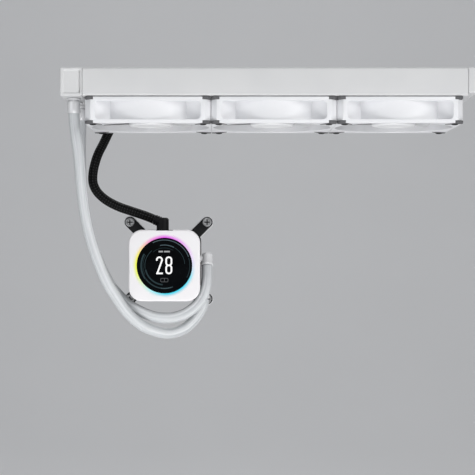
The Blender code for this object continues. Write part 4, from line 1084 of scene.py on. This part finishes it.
def side_channel(node, side):
    """A side plate folded from sheet, with round bends and a hole in each flange at every fan's corners."""
    low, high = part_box(node)
    outer, lip = (low.y, high.y) if side < 0 else (high.y, low.y)
    body = prism(channel_outline(outer, lip, low.z, high.z, side), low.x, high.x, "X")
    holes = []
    for number in FANS:
        middle = middle_of(f"fan_{number}_frame")
        for end in (-1, 1):
            centre = (middle.x + end * SCREW_SPACING / 2, side * SCREW_SPACING / 2)
            holes.append(prism(circle(FLANGE_HOLE, 20, centre), low.z - GAP, high.z + GAP))
    return soft_edges(booleans(body, cut=holes), 0.00012, 1, 50.0)


def channel_outline(outer, lip, bottom, top, side):
    """A C-shaped section in the plane across the radiator: round bends outside and inside."""
    outside = []
    inside = []
    for level, up, start in ((top, -1, 0), (bottom, 1, 90)):
        for v, u in arc(1.0, start, 90 - start, 5):
            for outline, radius in ((outside, SHEET_BEND), (inside, SHEET_BEND - SHEET_THICKNESS)):
                across = outer - side * (SHEET_BEND - radius * u)
                outline.append((across, level + up * (SHEET_BEND - radius * v)))
    return [
        (lip, top),
        *outside,
        (lip, bottom),
        (lip, bottom + SHEET_THICKNESS),
        *reversed(inside),
        (lip, top - SHEET_THICKNESS),
    ]


def fin_bank(low_x, high_x, low_y, high_y, middle_z):
    """One bank of fins: a thin strip folded in zigzags between two tubes."""
    count = int((high_x - low_x) / FIN_PITCH)
    shape = bmesh.new()
    columns = []
    for k in range(count + 1):
        x = low_x + k * (high_x - low_x) / count
        y = low_y if k % 2 else high_y
        faces = (x - FIN_THICKNESS / 2, x + FIN_THICKNESS / 2)
        levels = (middle_z - FIN_HEIGHT / 2, middle_z + FIN_HEIGHT / 2)
        columns.append([shape.verts.new((u, y, z)) for u in faces for z in levels])
    for before, after in zip(columns, columns[1:]):
        for a, b in ((0, 1), (1, 3), (3, 2), (2, 0)):
            shape.faces.new((before[a], before[b], after[b], after[a]))
    for end in (columns[0], columns[-1]):
        shape.faces.new((end[0], end[1], end[3], end[2]))
    return mesh_of(shape)


def core_tube(low_x, high_x, middle_y, middle_z):
    """A flat tube with round edges."""
    half = CORE_TUBE_WIDTH / 2
    reach = CORE_TUBE_HEIGHT / 2 - half
    outline = arc(half, 0, 180, 6, (middle_y, middle_z + reach))
    outline += arc(half, 180, 360, 6, (middle_y, middle_z - reach))
    return prism(outline, low_x, high_x, "X")


def build_core():
    """The core: flat tubes with folded fins between them and a header plate at each end."""
    low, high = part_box("radiator_core")
    tank_low, tank_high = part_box("hose_end_tank")
    far_low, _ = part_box("far_end_tank")
    start, end = tank_high.x, far_low.x
    middle_z = (tank_low.z + tank_high.z) / 2
    bank = (high.y - low.y - CORE_TUBES * CORE_TUBE_WIDTH) / (CORE_TUBES + 1)
    tubes = []
    fins = []
    for k in range(CORE_TUBES + 1):
        near = low.y + k * (bank + CORE_TUBE_WIDTH)
        fins.append(fin_bank(start + 0.0012, end - 0.0012, near, near + bank, middle_z))
        if k < CORE_TUBES:
            middle_y = near + bank + CORE_TUBE_WIDTH / 2
            tubes.append(core_tube(start - 0.001, end + 0.001, middle_y, middle_z))
    for bottom, near, far in (
        (tank_low.z - tank_high.z, start - 0.0005, start + 0.0010),
        (far_low.z, end - 0.0005, end + 0.0005),
    ):
        tubes.append(prism(rectangle(low.y, high.y, bottom + 0.0023, -0.0023, 0.002, 4), near, far, "X"))
    show("core_tubes", joined(tubes), "fin_coat", "radiator_core")
    show("core_fins", joined(fins), "fin_coat", angle=FIN_SMOOTH_ANGLE)


def upright(node, profile, steps):
    """A profile turned about the upright axis through the middle of a solid's box."""
    middle = middle_of(node)
    return moved(turned(profile, steps), (middle.x, middle.y, 0.0))


def port_stub(node):
    """A hose port: a round sealing flange above its round stub, with a bore for the coolant."""
    low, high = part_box(node)
    radius = (high.x - low.x) / 2
    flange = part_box("hose_end_tank")[0].z - GAP
    profile = [
        (PORT_BORE, high.z),
        (PORT_NECK, high.z),
        (PORT_NECK, flange),
        (radius - 0.0003, flange),
        (radius, flange - 0.0003),
        (radius, flange - 0.0010),
        (radius - 0.0006, flange - 0.0014),
        (PORT_STUB + 0.0004, flange - 0.0018),
        (PORT_STUB, flange - 0.0024),
        (PORT_STUB, low.z),
        (PORT_BORE, low.z),
    ]
    return upright(node, profile, 56)


def crimp_collar(node):
    """A hose collar with a rounded shoulder and a softened lower edge."""
    low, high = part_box(node)
    radius = (high.x - low.x) / 2
    mouth = COLLAR_BORE - 0.0006
    profile = [
        (mouth, high.z),
        *arc(0.0009, 90, 0, 6, (radius - 0.0009, high.z - 0.0009)),
        (radius, low.z + 0.0004),
        (radius - 0.0003, low.z),
        (COLLAR_BORE, low.z),
        (COLLAR_BORE, high.z - 0.0012),
        (mouth, high.z - 0.0012),
    ]
    return upright(node, profile, 64)


def tank_plug():
    """The filling hole's plug, with a round-edged head and a hexagonal socket."""
    low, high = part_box("fill_plug")
    radius = (high.x - low.x) / 2
    edge = arc(0.0004, 0, -90, 4, (radius - 0.0004, low.z + 0.0004))
    neck = [(0.0, high.z), (0.0043, high.z), (0.0043, low.z + 0.0014), (radius, low.z + 0.0014)]
    socket = prism(circle(0.002, 6), low.z - GAP, low.z + 0.0019)
    middle = middle_of("fill_plug")
    plug = booleans(turned([*neck, *edge, (0.0, low.z)], 48), cut=[socket])
    return moved(plug, (middle.x, middle.y, 0.0))


def build_radiator():
    """The radiator's tanks, plates, core and ports."""
    show("hose_tank_case", hose_tank(), "white_coat", "hose_end_tank")
    show("far_tank_case", far_tank(), "white_coat", "far_end_tank")
    for name, side in (("front", -1), ("rear", 1)):
        node = f"{name}_side_plate"
        show(f"{name}_channel", side_channel(node, side), "white_coat", node)
        port, collar = f"{name}_port_fitting", f"{name}_hose_collar"
        show(f"{name}_port_stub", port_stub(port), "collar_metal", port)
        show(f"{name}_crimp_collar", crimp_collar(collar), "collar_metal", collar)
    show("tank_plug", tank_plug(), "white_coat", "fill_plug")
    build_core()


# ---------------------------------------------------------------- fans


def duct_bore():
    """The cutter for a fan's bore: round, with a lip that flares towards each face."""
    outer = FAN_BORE + DUCT_LIP
    face = FAN_HALF_DEPTH + GAP
    flare = arc(DUCT_LIP, 180, 90, 5, (outer, FAN_HALF_DEPTH - DUCT_LIP))
    lower = [(u, -v) for u, v in reversed(flare)]
    return turned([(0.0, -face), (outer, -face), *lower, *flare, (outer, face), (0.0, face)], 144)


def side_pocket():
    """The cutter for the pocket in one side of a frame, with round corners seen from the side."""
    angle = math.degrees(math.acos(POCKET_TURN / DUCT_RADIUS))
    outside = FAN_WIDTH / 2 + 0.002
    length, height = POCKET_HALF_LENGTH, POCKET_HALF_HEIGHT
    plan = [
        (-length, -outside),
        (-length, -POCKET_END_DEPTH),
        *arc(DUCT_RADIUS, 180 + angle, 360 - angle, 40),
        (length, -POCKET_END_DEPTH),
        (length, -outside),
    ]
    front = rectangle(-length, length, -height, height, POCKET_CORNER, 7)
    block = prism(plan, -height - GAP, height + GAP)
    return booleans(block, common=[prism(front, -outside - GAP, -POCKET_REACH, "Y")])


def pad_seat(low, high):
    """The cutter for a pad's seat in a frame's corner."""
    face = FAN_WIDTH / 2
    reach = 1.1
    beyond = PAD_INNER + (face - PAD_INNER) * reach
    side = PAD_INNER + (face - PAD_SIDE - PAD_INNER) * reach
    return prism([(PAD_INNER, PAD_INNER), (beyond, side), (beyond, beyond), (side, beyond)], low, high)


def frame_shell():
    """A fan's frame with its bore, pockets, corner slopes, pad seats and screw holes."""
    half = FAN_HALF_DEPTH
    screw = SCREW_SPACING / 2
    face = FAN_WIDTH / 2
    beyond = face + 0.002
    seat = half - PAD_SEAT_DEPTH
    inner = face - CORNER_SLOPE
    slope = [(inner, face), (face, inner), (beyond, face), (beyond, beyond), (face, beyond)]
    corner_cuts = (
        side_pocket(),
        pad_seat(seat, half + 0.001),
        pad_seat(-half - 0.001, -seat),
        prism(circle(FRAME_HOLE, HOLE_STEPS, (screw, screw)), -0.02, 0.02),
        prism(slope, -seat - GAP, seat + GAP),
    )
    cuts = [duct_bore()]
    for k in range(4):
        cuts += [moved(cut, turn=90 * k) for cut in corner_cuts]
    return soft_edges(booleans(prism(square(FAN_WIDTH, 0.0022, 5), -half, half), cut=cuts), 0.0003, 2, 40.0)


def strut_set():
    """The motor mount and its four curved struts on the side that faces the radiator."""
    half = FAN_HALF_DEPTH
    low = half - STRUT_DEPTH
    profile = [
        (0.0, low),
        (MOUNT_RADIUS - 0.0004, low),
        (MOUNT_RADIUS, low + 0.0004),
        (MOUNT_RADIUS, half - 0.0005),
        (MOUNT_RADIUS - 0.0005, half),
        (0.0, half),
    ]
    arms = []
    for start in (20, 110, 200, 290):
        path = []
        for j in range(STRUT_STEPS + 1):
            share = j / STRUT_STEPS
            radius = MOUNT_RADIUS - 0.002 + (DUCT_RADIUS - MOUNT_RADIUS + 0.001) * share
            angle = math.radians(start + STRUT_BEND * math.sin(math.pi * share))
            path.append(Vector((radius * math.cos(angle), radius * math.sin(angle))))
        sides = []
        for j, point in enumerate(path):
            ahead = path[min(j + 1, STRUT_STEPS)] - path[max(j - 1, 0)]
            reach = ahead.normalized().orthogonal() * STRUT_WIDTH / 2
            sides.append((point + reach, point - reach))
        outline = [left for left, _ in sides] + [right for _, right in reversed(sides)]
        arms.append(soft_edges(prism(outline, low, half), 0.0005, 2))
    return joined([turned(profile, 64), *arms])


def blade(number):
    """One swept, cambered blade with a rounded tip, thin at both edges."""
    root = HUB_RADIUS - 0.0007
    steps = range(BLADE_STEPS)
    ends = (0, BLADE_STEPS)
    shape = bmesh.new()
    grid = {}
    for i in range(BLADE_STEPS + 1):
        share = i / BLADE_STEPS
        radius = root + (BLADE_TIP - root) * share
        rounding = max(share - BLADE_ROUNDING, 0.0) / (1 - BLADE_ROUNDING)
        start = BLADE_SWEEP * share**1.4 + 2.2 * rounding**2
        span = BLADE_SPAN + 20.0 * share * (1 - share) - 4.4 * rounding**2
        for j in range(BLADE_STEPS + 1):
            chord = j / BLADE_STEPS
            angle = math.radians(start + span * chord) + math.tau * number / BLADES
            level = BLADE_TOP - BLADE_FALL * chord**1.25
            belly = math.sin(math.pi * min(max(chord, 0.03), 0.97)) * (1.1 - 0.4 * share)
            half = (0.00025 + 0.0013 * belly) / 2
            for side in (-1, 1):
                place = (radius * math.cos(angle), radius * math.sin(angle), level + side * half)
                grid[i, j, side] = shape.verts.new(place)
    for i in steps:
        for j in steps:
            for side in (-1, 1):
                corners = ((i, j), (i, j + 1), (i + 1, j + 1), (i + 1, j))
                shape.faces.new([grid[a, b, side] for a, b in corners])
    for i in steps:
        for j in ends:
            shape.faces.new((grid[i, j, -1], grid[i + 1, j, -1], grid[i + 1, j, 1], grid[i, j, 1]))
    for j in steps:
        for i in ends:
            shape.faces.new((grid[i, j, -1], grid[i, j + 1, -1], grid[i, j + 1, 1], grid[i, j, 1]))
    return mesh_of(shape)


def rotor():
    """The hub cup with a domed, plain face, and its shaft and blades, the blades in a darker grey as
    painted shade inside the duct.
    """
    rim = 0.0022
    inside = HUB_LOW + HUB_WALL + 0.0008
    profile = [
        (0.0, HUB_LOW + 0.0005),
        (0.0105, HUB_LOW + 0.0004),
        (0.0108, HUB_LOW + 0.0001),
        (0.0112, HUB_LOW),
        *arc(rim, -90, 0, 6, (HUB_RADIUS - rim, HUB_LOW + rim)),
        (HUB_RADIUS, HUB_HIGH - 0.0004),
        (HUB_RADIUS - 0.0004, HUB_HIGH),
        (HUB_RADIUS - HUB_WALL, HUB_HIGH),
        (HUB_RADIUS - HUB_WALL, inside),
        (SHAFT_RADIUS, inside),
        (SHAFT_RADIUS, HUB_HIGH),
        (0.0, HUB_HIGH),
    ]
    blades = joined([blade(k) for k in range(BLADES)])
    return painted((turned(profile, 96), blades), ("hub_plastic", "blade_plastic_painted_shade"))


def damper():
    """A corner damper: a pad above and below, joined by the sleeve round the screw."""
    half = FAN_HALF_DEPTH
    inner = PAD_INNER + GAP
    side = FAN_WIDTH / 2 - PAD_SIDE + GAP
    edge = FAN_WIDTH / 2 - 0.0001
    bevel = edge - 0.0022
    outline = [(inner, inner), (edge, side), (edge, bevel), (bevel, edge), (side, edge)]
    seat = half - PAD_SEAT_DEPTH + GAP
    screw = (SCREW_SPACING / 2, SCREW_SPACING / 2)
    top = prism(outline, seat, half + PAD_PROUD)
    bottom = prism(outline, -half - PAD_PROUD, -seat)
    sleeve = prism(circle(PAD_SLEEVE, HOLE_STEPS, screw), -seat - GAP, seat + GAP)
    hole = prism(circle(PAD_HOLE, HOLE_STEPS, screw), -0.02, 0.02)
    return soft_edges(booleans(top, added=[sleeve, bottom], cut=[hole]), 0.00035, 2)


def fan_screw():
    """A long screw from under the fan into the radiator's flange: a pan head with a cross slot."""
    head = FAN_HALF_DEPTH + PAD_PROUD
    shank = [(0.0, head + 0.002), (0.0014, head + 0.002), (0.0014, -head), (FAN_SCREW_HEAD, -head)]
    crown = [(FAN_SCREW_HEAD * u, -head - 0.0003 - 0.0009 * v) for u, v in arc(1.0, 0, 75, 5)]
    slots = []
    for width, length in ((0.0006, 0.0034), (0.0034, 0.0006)):
        slot = rectangle(-width / 2, width / 2, -length / 2, length / 2)
        slots.append(prism(slot, -head - 0.003, -head - 0.0004))
    return booleans(turned([*shank, *crown, (0.0, -head - 0.0012)], 36), cut=slots)


def build_fans():
    """Three equal fans: frame and struts, rotor, four dampers and four screws."""
    shell = joined([frame_shell(), strut_set()])
    rotor_mesh = rotor()
    damper_mesh = damper()
    screw_mesh = fan_screw()
    for number in FANS:
        fan = f"fan_{number}"
        hub = middle_of(f"{fan}_frame")
        show(f"{fan}_shell", shell, "fan_plastic", f"{fan}_frame", place=hub)
        show(f"{fan}_blades", rotor_mesh, "blade_plastic_painted_shade", f"{fan}_rotor", body=f"{fan}_rotor", place=hub)
        for k, corner in enumerate(FAN_CORNERS):
            name = f"{fan}_{corner}"
            show(f"{name}_damper", moved(damper_mesh, turn=90 * k), "pad_rubber", f"{name}_pad", place=hub)
            spot = Matrix.Rotation(math.radians(90 * k), 3, "Z") @ Vector((1.0, 1.0, 0.0))
            show(f"{name}_screw", screw_mesh, "black_metal", place=hub + spot * SCREW_SPACING / 2)


# ---------------------------------------------------------------- pump head


def cap_shell(width, depth, opening):
    """The square cap: soft edges, a thin wall, the round opening and a notch in its upper edge."""
    outlines = []
    for u, v in arc(CAP_EDGE, 0, 90, 6):
        inset = CAP_EDGE - v
        outlines.append((square(width - 2 * inset, CAP_CORNER - inset, CORNER_STEPS), CAP_EDGE - u))
    outlines.append((square(width, CAP_CORNER, CORNER_STEPS), depth * 0.6))
    outlines.append((square(width - 0.0004, CAP_CORNER, CORNER_STEPS), depth))
    wall = CAP_WALL
    hollow = prism(square(width - 2 * wall, CAP_CORNER - wall, CORNER_STEPS), wall, depth + wall, "Y")
    lip = GAP / 10
    profile = [(0.0, -wall), (opening + 2 * lip, -wall), (opening + lip, 0.0), (opening, lip)]
    hole = turned([*profile, (opening, 3 * wall), (0.0, 3 * wall)], RING_STEPS, "Y")
    dent = rectangle(-0.0085, 0.0085, width / 2 - 0.0008, width / 2 + 0.001, 0.0003, 2)
    notch = prism(dent, -0.001, depth + 0.001, "Y")
    return booleans(loft(outlines, "Y"), cut=[hollow, hole, notch])


def diffuser_ring(inner, outer, depth):
    """The ring of light, flush with the cap, with its inner edge eased towards the glass."""
    profile = [(inner, 0.0003), (inner + 0.0004, 0.0), (outer, 0.0), (outer, depth), (inner, depth)]
    return turned(profile, RING_STEPS, "Y")


def cover_glass(radius, thickness):
    """The round cover glass with a rolled edge."""
    edge = 0.0006
    rolled = arc(edge, -90, 0, 6, (radius - edge, edge))
    return turned([(0.0, 0.0), *rolled, (radius, thickness), (0.0, thickness)], RING_STEPS, "Y")


def digit_two():
    """The strokes of a narrow 2 about its own middle: the bowl with its diagonal, and the foot."""
    shoulder = DIGIT_HALF_HEIGHT - DIGIT_HALF_WIDTH
    bowl = arc(DIGIT_HALF_WIDTH, 178, -15, 18, (0.0, shoulder))
    left = DIGIT_STROKE * 0.15 - DIGIT_HALF_WIDTH
    heel = (left, -DIGIT_HALF_HEIGHT - DIGIT_STROKE * 0.36)
    ends = (left - DIGIT_STROKE / 2, DIGIT_HALF_WIDTH + DIGIT_STROKE / 2)
    return [
        ribbon([(-DIGIT_HALF_WIDTH, shoulder - 0.0008), *bowl, heel], DIGIT_STROKE),
        ribbon([(end, -DIGIT_HALF_HEIGHT) for end in ends], DIGIT_STROKE),
    ]


def digit_eight():
    """The strokes of a narrow 8 about its own middle: two round-cornered loops."""
    half = DIGIT_HALF_WIDTH
    loops = []
    for low, high in ((0.0, DIGIT_HALF_HEIGHT), (-DIGIT_HALF_HEIGHT, 0.0)):
        loops.append(ribbon(rectangle(-half, half, low, high, half * 0.95, 9), DIGIT_STROKE, True))
    return loops


def build_screen(face):
    """The screen's marks: a two-digit number, two small bars, an outlined mark, and arcs round them."""
    number = []
    for digit, offset in ((digit_two, TWO_OFFSET), (digit_eight, EIGHT_OFFSET)):
        number += [moved(stroke, (offset, 0.0, DIGIT_LIFT)) for stroke in digit()]
    bars = [ribbon([(end, LABEL_HEIGHT) for end in ends], LABEL_WIDTH) for ends in LABEL_BARS]
    dim, bright = [
        [ribbon(arc(*spot, ARC_STEPS), width) for *spot, width in arcs] for arcs in (DIM_ARCS, BRIGHT_ARCS)
    ]
    unit = [
        ribbon(rectangle(-0.0036, 0.0036, -0.0161, -0.0126, 0.0008, 4), UNIT_STROKE, True),
        ribbon([(0.0, -0.0159), (0.0, -0.0128)], UNIT_STROKE),
    ]
    surface = (PUMP_MIDDLE.x, face - SCREEN_LIFT, PUMP_MIDDLE.z)
    for name, meshes, look in (
        ("screen_digits", number, "digit_light"),
        ("screen_label_marks", bars, "label_light"),
        ("screen_unit_mark", unit, "unit_light"),
        ("screen_dim_arcs", dim, "dim_arc_light"),
        ("screen_bright_arcs", bright, "arc_light"),
    ):
        show(name, moved(joined(meshes), surface), look)


def housing():
    """The pump's black housing: ribbed sides, port openings and a flange for the cold plate."""
    low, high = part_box("pump_housing")
    middle = middle_of("pump_housing")
    half = HOUSING_WIDTH / 2
    depth = high.y - low.y
    flange_front = depth - HOUSING_FLANGE
    block = prism(square(HOUSING_WIDTH, HOUSING_CORNER, CORNER_STEPS), 0.0, depth, "Y")
    flange = prism(square(high.x - low.x, HOUSING_CORNER, CORNER_STEPS), flange_front, depth, "Y")
    ribs = []
    for k in range(-4, 5):
        along = (RIB_PITCH * k - 0.0008, RIB_PITCH * k + 0.0008)
        across = (-half - 0.0007, -half + 0.001)
        for sides in ((*along, *across), (*across, *along)):
            ribs.append(prism(rectangle(*sides), 0.004, flange_front - 0.002, "Y"))
    holes = []
    for pivot in PIVOTS.values():
        spot = (pivot[1] - low.y, pivot[2] - middle.z)
        holes.append(prism(circle(ELBOW_HOLE, 32, spot), half - 0.006, half + 0.002, "X"))
    room = turned([(0.0122, -0.002), (0.0238, -0.002), (0.0238, 0.0117), (0.0122, 0.0117)], 64, "Y")
    body = booleans(block, added=[flange, *ribs], cut=[room, *holes])
    return moved(soft_edges(body, 0.0004, 2, 40.0), (middle.x, low.y, middle.z))


def base_plate():
    """The copper plate with softened corners and, in front, its block of fine fins."""
    low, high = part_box("cold_plate")
    front = high.y - BASE_DEPTH
    plate = soft_edges(prism(square(high.x - low.x, 0.004, 6), front, high.y, "Y"), 0.0005)
    fins = []
    for k in range(BASE_FINS):
        u = BASE_FIN_PITCH * k - BASE_FIN_REACH
        fin = rectangle(u, u + BASE_FIN_THICKNESS, -BASE_FIN_REACH, BASE_FIN_REACH)
        fins.append(prism(fin, low.y, front + GAP, "Y"))
    return moved(joined([plate, *fins]), PUMP_MIDDLE)


def clamp_frame(screws):
    """The bracket: a ring round the housing, a diagonal arm to each thumb screw, and bare chamfers."""
    low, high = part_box("mounting_bracket")
    steps = (
        (BRACKET_CHAMFER, low.y),
        (0.0, low.y + BRACKET_CHAMFER),
        (0.0, high.y - BRACKET_CHAMFER),
        (BRACKET_CHAMFER, high.y),
    )
    outlines = []
    for inset, level in steps:
        outlines.append((square(BRACKET_WIDTH - 2 * inset, BRACKET_CORNER - inset, 8), level))
    holes = [prism(square(BRACKET_OPENING, HOUSING_CORNER, 8), low.y - 0.001, high.y + 0.001, "Y")]
    arms = []
    for u, v in screws:
        reach = max(abs(u), abs(v)) - ARM_ROOT
        root = (u - math.copysign(reach, u), v - math.copysign(reach, v))
        bars = [(capsule(root, (u, v), BOSS_RADIUS - inset), level) for inset, level in steps]
        arms.append(loft(bars, "Y"))
        holes.append(prism(circle(BOSS_HOLE, HOLE_STEPS, (u, v)), low.y - 0.001, high.y + 0.001, "Y"))
    body = painted([booleans(loft(outlines, "Y"), added=arms, cut=holes)], ("black_metal", "bare_edge"))
    for face in body.polygons:
        face.material_index = int(0.3 < abs(face.normal.y) < 0.9)
    return moved(body, PUMP_MIDDLE)


def thumb_screw(node):
    """A thumb screw: knurled head with a dished face, a cross recess whose black floor is painted shade,
    and a threaded shank.
    """
    low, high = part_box(node)
    radius = (high.x - low.x) / 2
    rim = radius - 0.0003
    head_depth = THUMB_HEAD_DEPTH
    ridges = []
    for k, (u, v) in enumerate(circle(1.0, KNURL_STEPS)):
        reach = radius - (KNURL_DEPTH if k % 4 < 2 else 0.0)
        ridges.append((reach * u, reach * v))
    dish = [(0.0, 0.0004), (0.0028, 0.0004), (0.0032, 0.0), (radius - 0.0007, 0.0)]
    face = turned([*dish, (rim, 0.0005), (rim, 0.0012), (0.0, 0.0012)], 64, "Y")
    slot = prism(rectangle(-0.0027, 0.0027, -0.0006, 0.0006), -0.001, 0.0022, "Y")
    slots = [moved(slot, turn=turn, axis="Y") for turn in (0, 90)]
    head = booleans(prism(ridges, 0.0009, head_depth, "Y"), added=[face], cut=slots)
    length = high.y - low.y - head_depth
    pitch = length / THREAD_TURNS
    shank = [(0.0, head_depth - 0.0002)]
    for k in range(THREAD_TURNS):
        level = head_depth + pitch * k
        shank += [(THREAD_CREST, level), (THREAD_ROOT, level + pitch / 2)]
    shank += [(0.0017, head_depth + length - 0.0003), (0.0, head_depth + length)]
    # Painted shade: a black disc at the floor of the cross recess stands in for the shade inside it.
    floor = turned([(0.0, 0.0015), (0.0030, 0.0015), (0.0030, 0.0019), (0.0, 0.0019)], 32, "Y")
    metal = joined([head, turned(shank, 28, "Y")])
    middle = middle_of(node)
    return moved(painted((metal, floor), ("nickel", "black_metal")), (middle.x, low.y, middle.z))


def elbow_fitting(name):
    """A swivel elbow: domed barrel with a rim where the hose joins, and its spigot into the housing."""
    radius, rim, top, dome = ELBOW_RADIUS, ELBOW_RIM, 0.0057, 0.0026
    profile = [
        (0.0, top),
        *arc(dome, 90, 0, 8, (radius - dome, top - dome)),
        (radius, -0.0044),
        (radius + 0.0002, -0.0050),
        (rim - 0.0001, -0.0055),
        (rim, -0.0059),
        (rim, -0.0071),
        (rim - 0.0004, -0.0075),
        (0.0, -0.0075),
    ]
    inner_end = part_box("pump_housing")[1].x - 0.008 - PIVOTS[name][0]
    collar_end = inner_end + 0.0065
    spigot = [(0.0, inner_end), (SPIGOT_RADIUS, inner_end), (SPIGOT_RADIUS, collar_end)]
    neck = turned([*spigot, (NECK_RADIUS, collar_end + 0.0004), (NECK_RADIUS, 0.0), (0.0, 0.0)], 48, "X")
    return moved(booleans(turned(profile, 64), added=[neck]), PIVOTS[name], ELBOW_SWINGS[name], "X")


def build_pump_head():
    """The pump head with its screen, bracket, screws and elbows."""
    boxes = [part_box(node) for node in ("front_cap", "light_ring", "screen_glass")]
    cap_front, ring_front, glass_front = [low.y for low, _ in boxes]
    cap_depth, ring_depth, glass_depth = [high.y - low.y for low, high in boxes]
    cap_width, ring_width, glass_width = [high.x - low.x for low, high in boxes]
    cap = cap_shell(cap_width, cap_depth, ring_width / 2 + GAP / 15)
    ring = diffuser_ring(glass_width / 2 + GAP / 2, ring_width / 2, ring_depth)
    glass = cover_glass(glass_width / 2, glass_depth)
    for name, mesh, front, look, node in (
        ("pump_cap", cap, cap_front, "cap_white", "front_cap"),
        ("glow_ring", ring, ring_front, "lit_diffuser", "light_ring"),
        ("cover_glass", glass, glass_front, "dark_glass", "screen_glass"),
    ):
        show(name, moved(mesh, (PUMP_MIDDLE.x, front, PUMP_MIDDLE.z)), look, node)
    build_screen(glass_front)
    show("housing_block", housing(), "black_plastic", "pump_housing")
    show("copper_base", base_plate(), "copper", "cold_plate")
    screws = []
    for name in THUMB_SCREWS:
        node = f"{name}_thumb_screw"
        away = middle_of(node) - PUMP_MIDDLE
        screws.append((away.x, away.z))
        show(f"{name}_knurled_screw", thumb_screw(node), "nickel", node, body=node)
    show("clamp_frame", clamp_frame(screws), "black_metal", "mounting_bracket")
    for name in ELBOW_SWINGS:
        show(f"{name}_fitting", elbow_fitting(name), "hose_fitting", name, body=name)


# ---------------------------------------------------------------- the whole


def finish_nodes():
    """Gives the solids that stay as they are their materials."""
    for node, look in KEPT_NODES.items():
        for slot in frame["nodes"][node].material_slots:
            slot.material = LOOKS[look]


add_camera()
add_stage(cad_box[0].z - FLOOR_DROP)
for light in LIGHTS:
    add_light(*light)
build_hoses()
build_cable()
build_radiator()
build_fans()
build_pump_head()
finish_nodes()
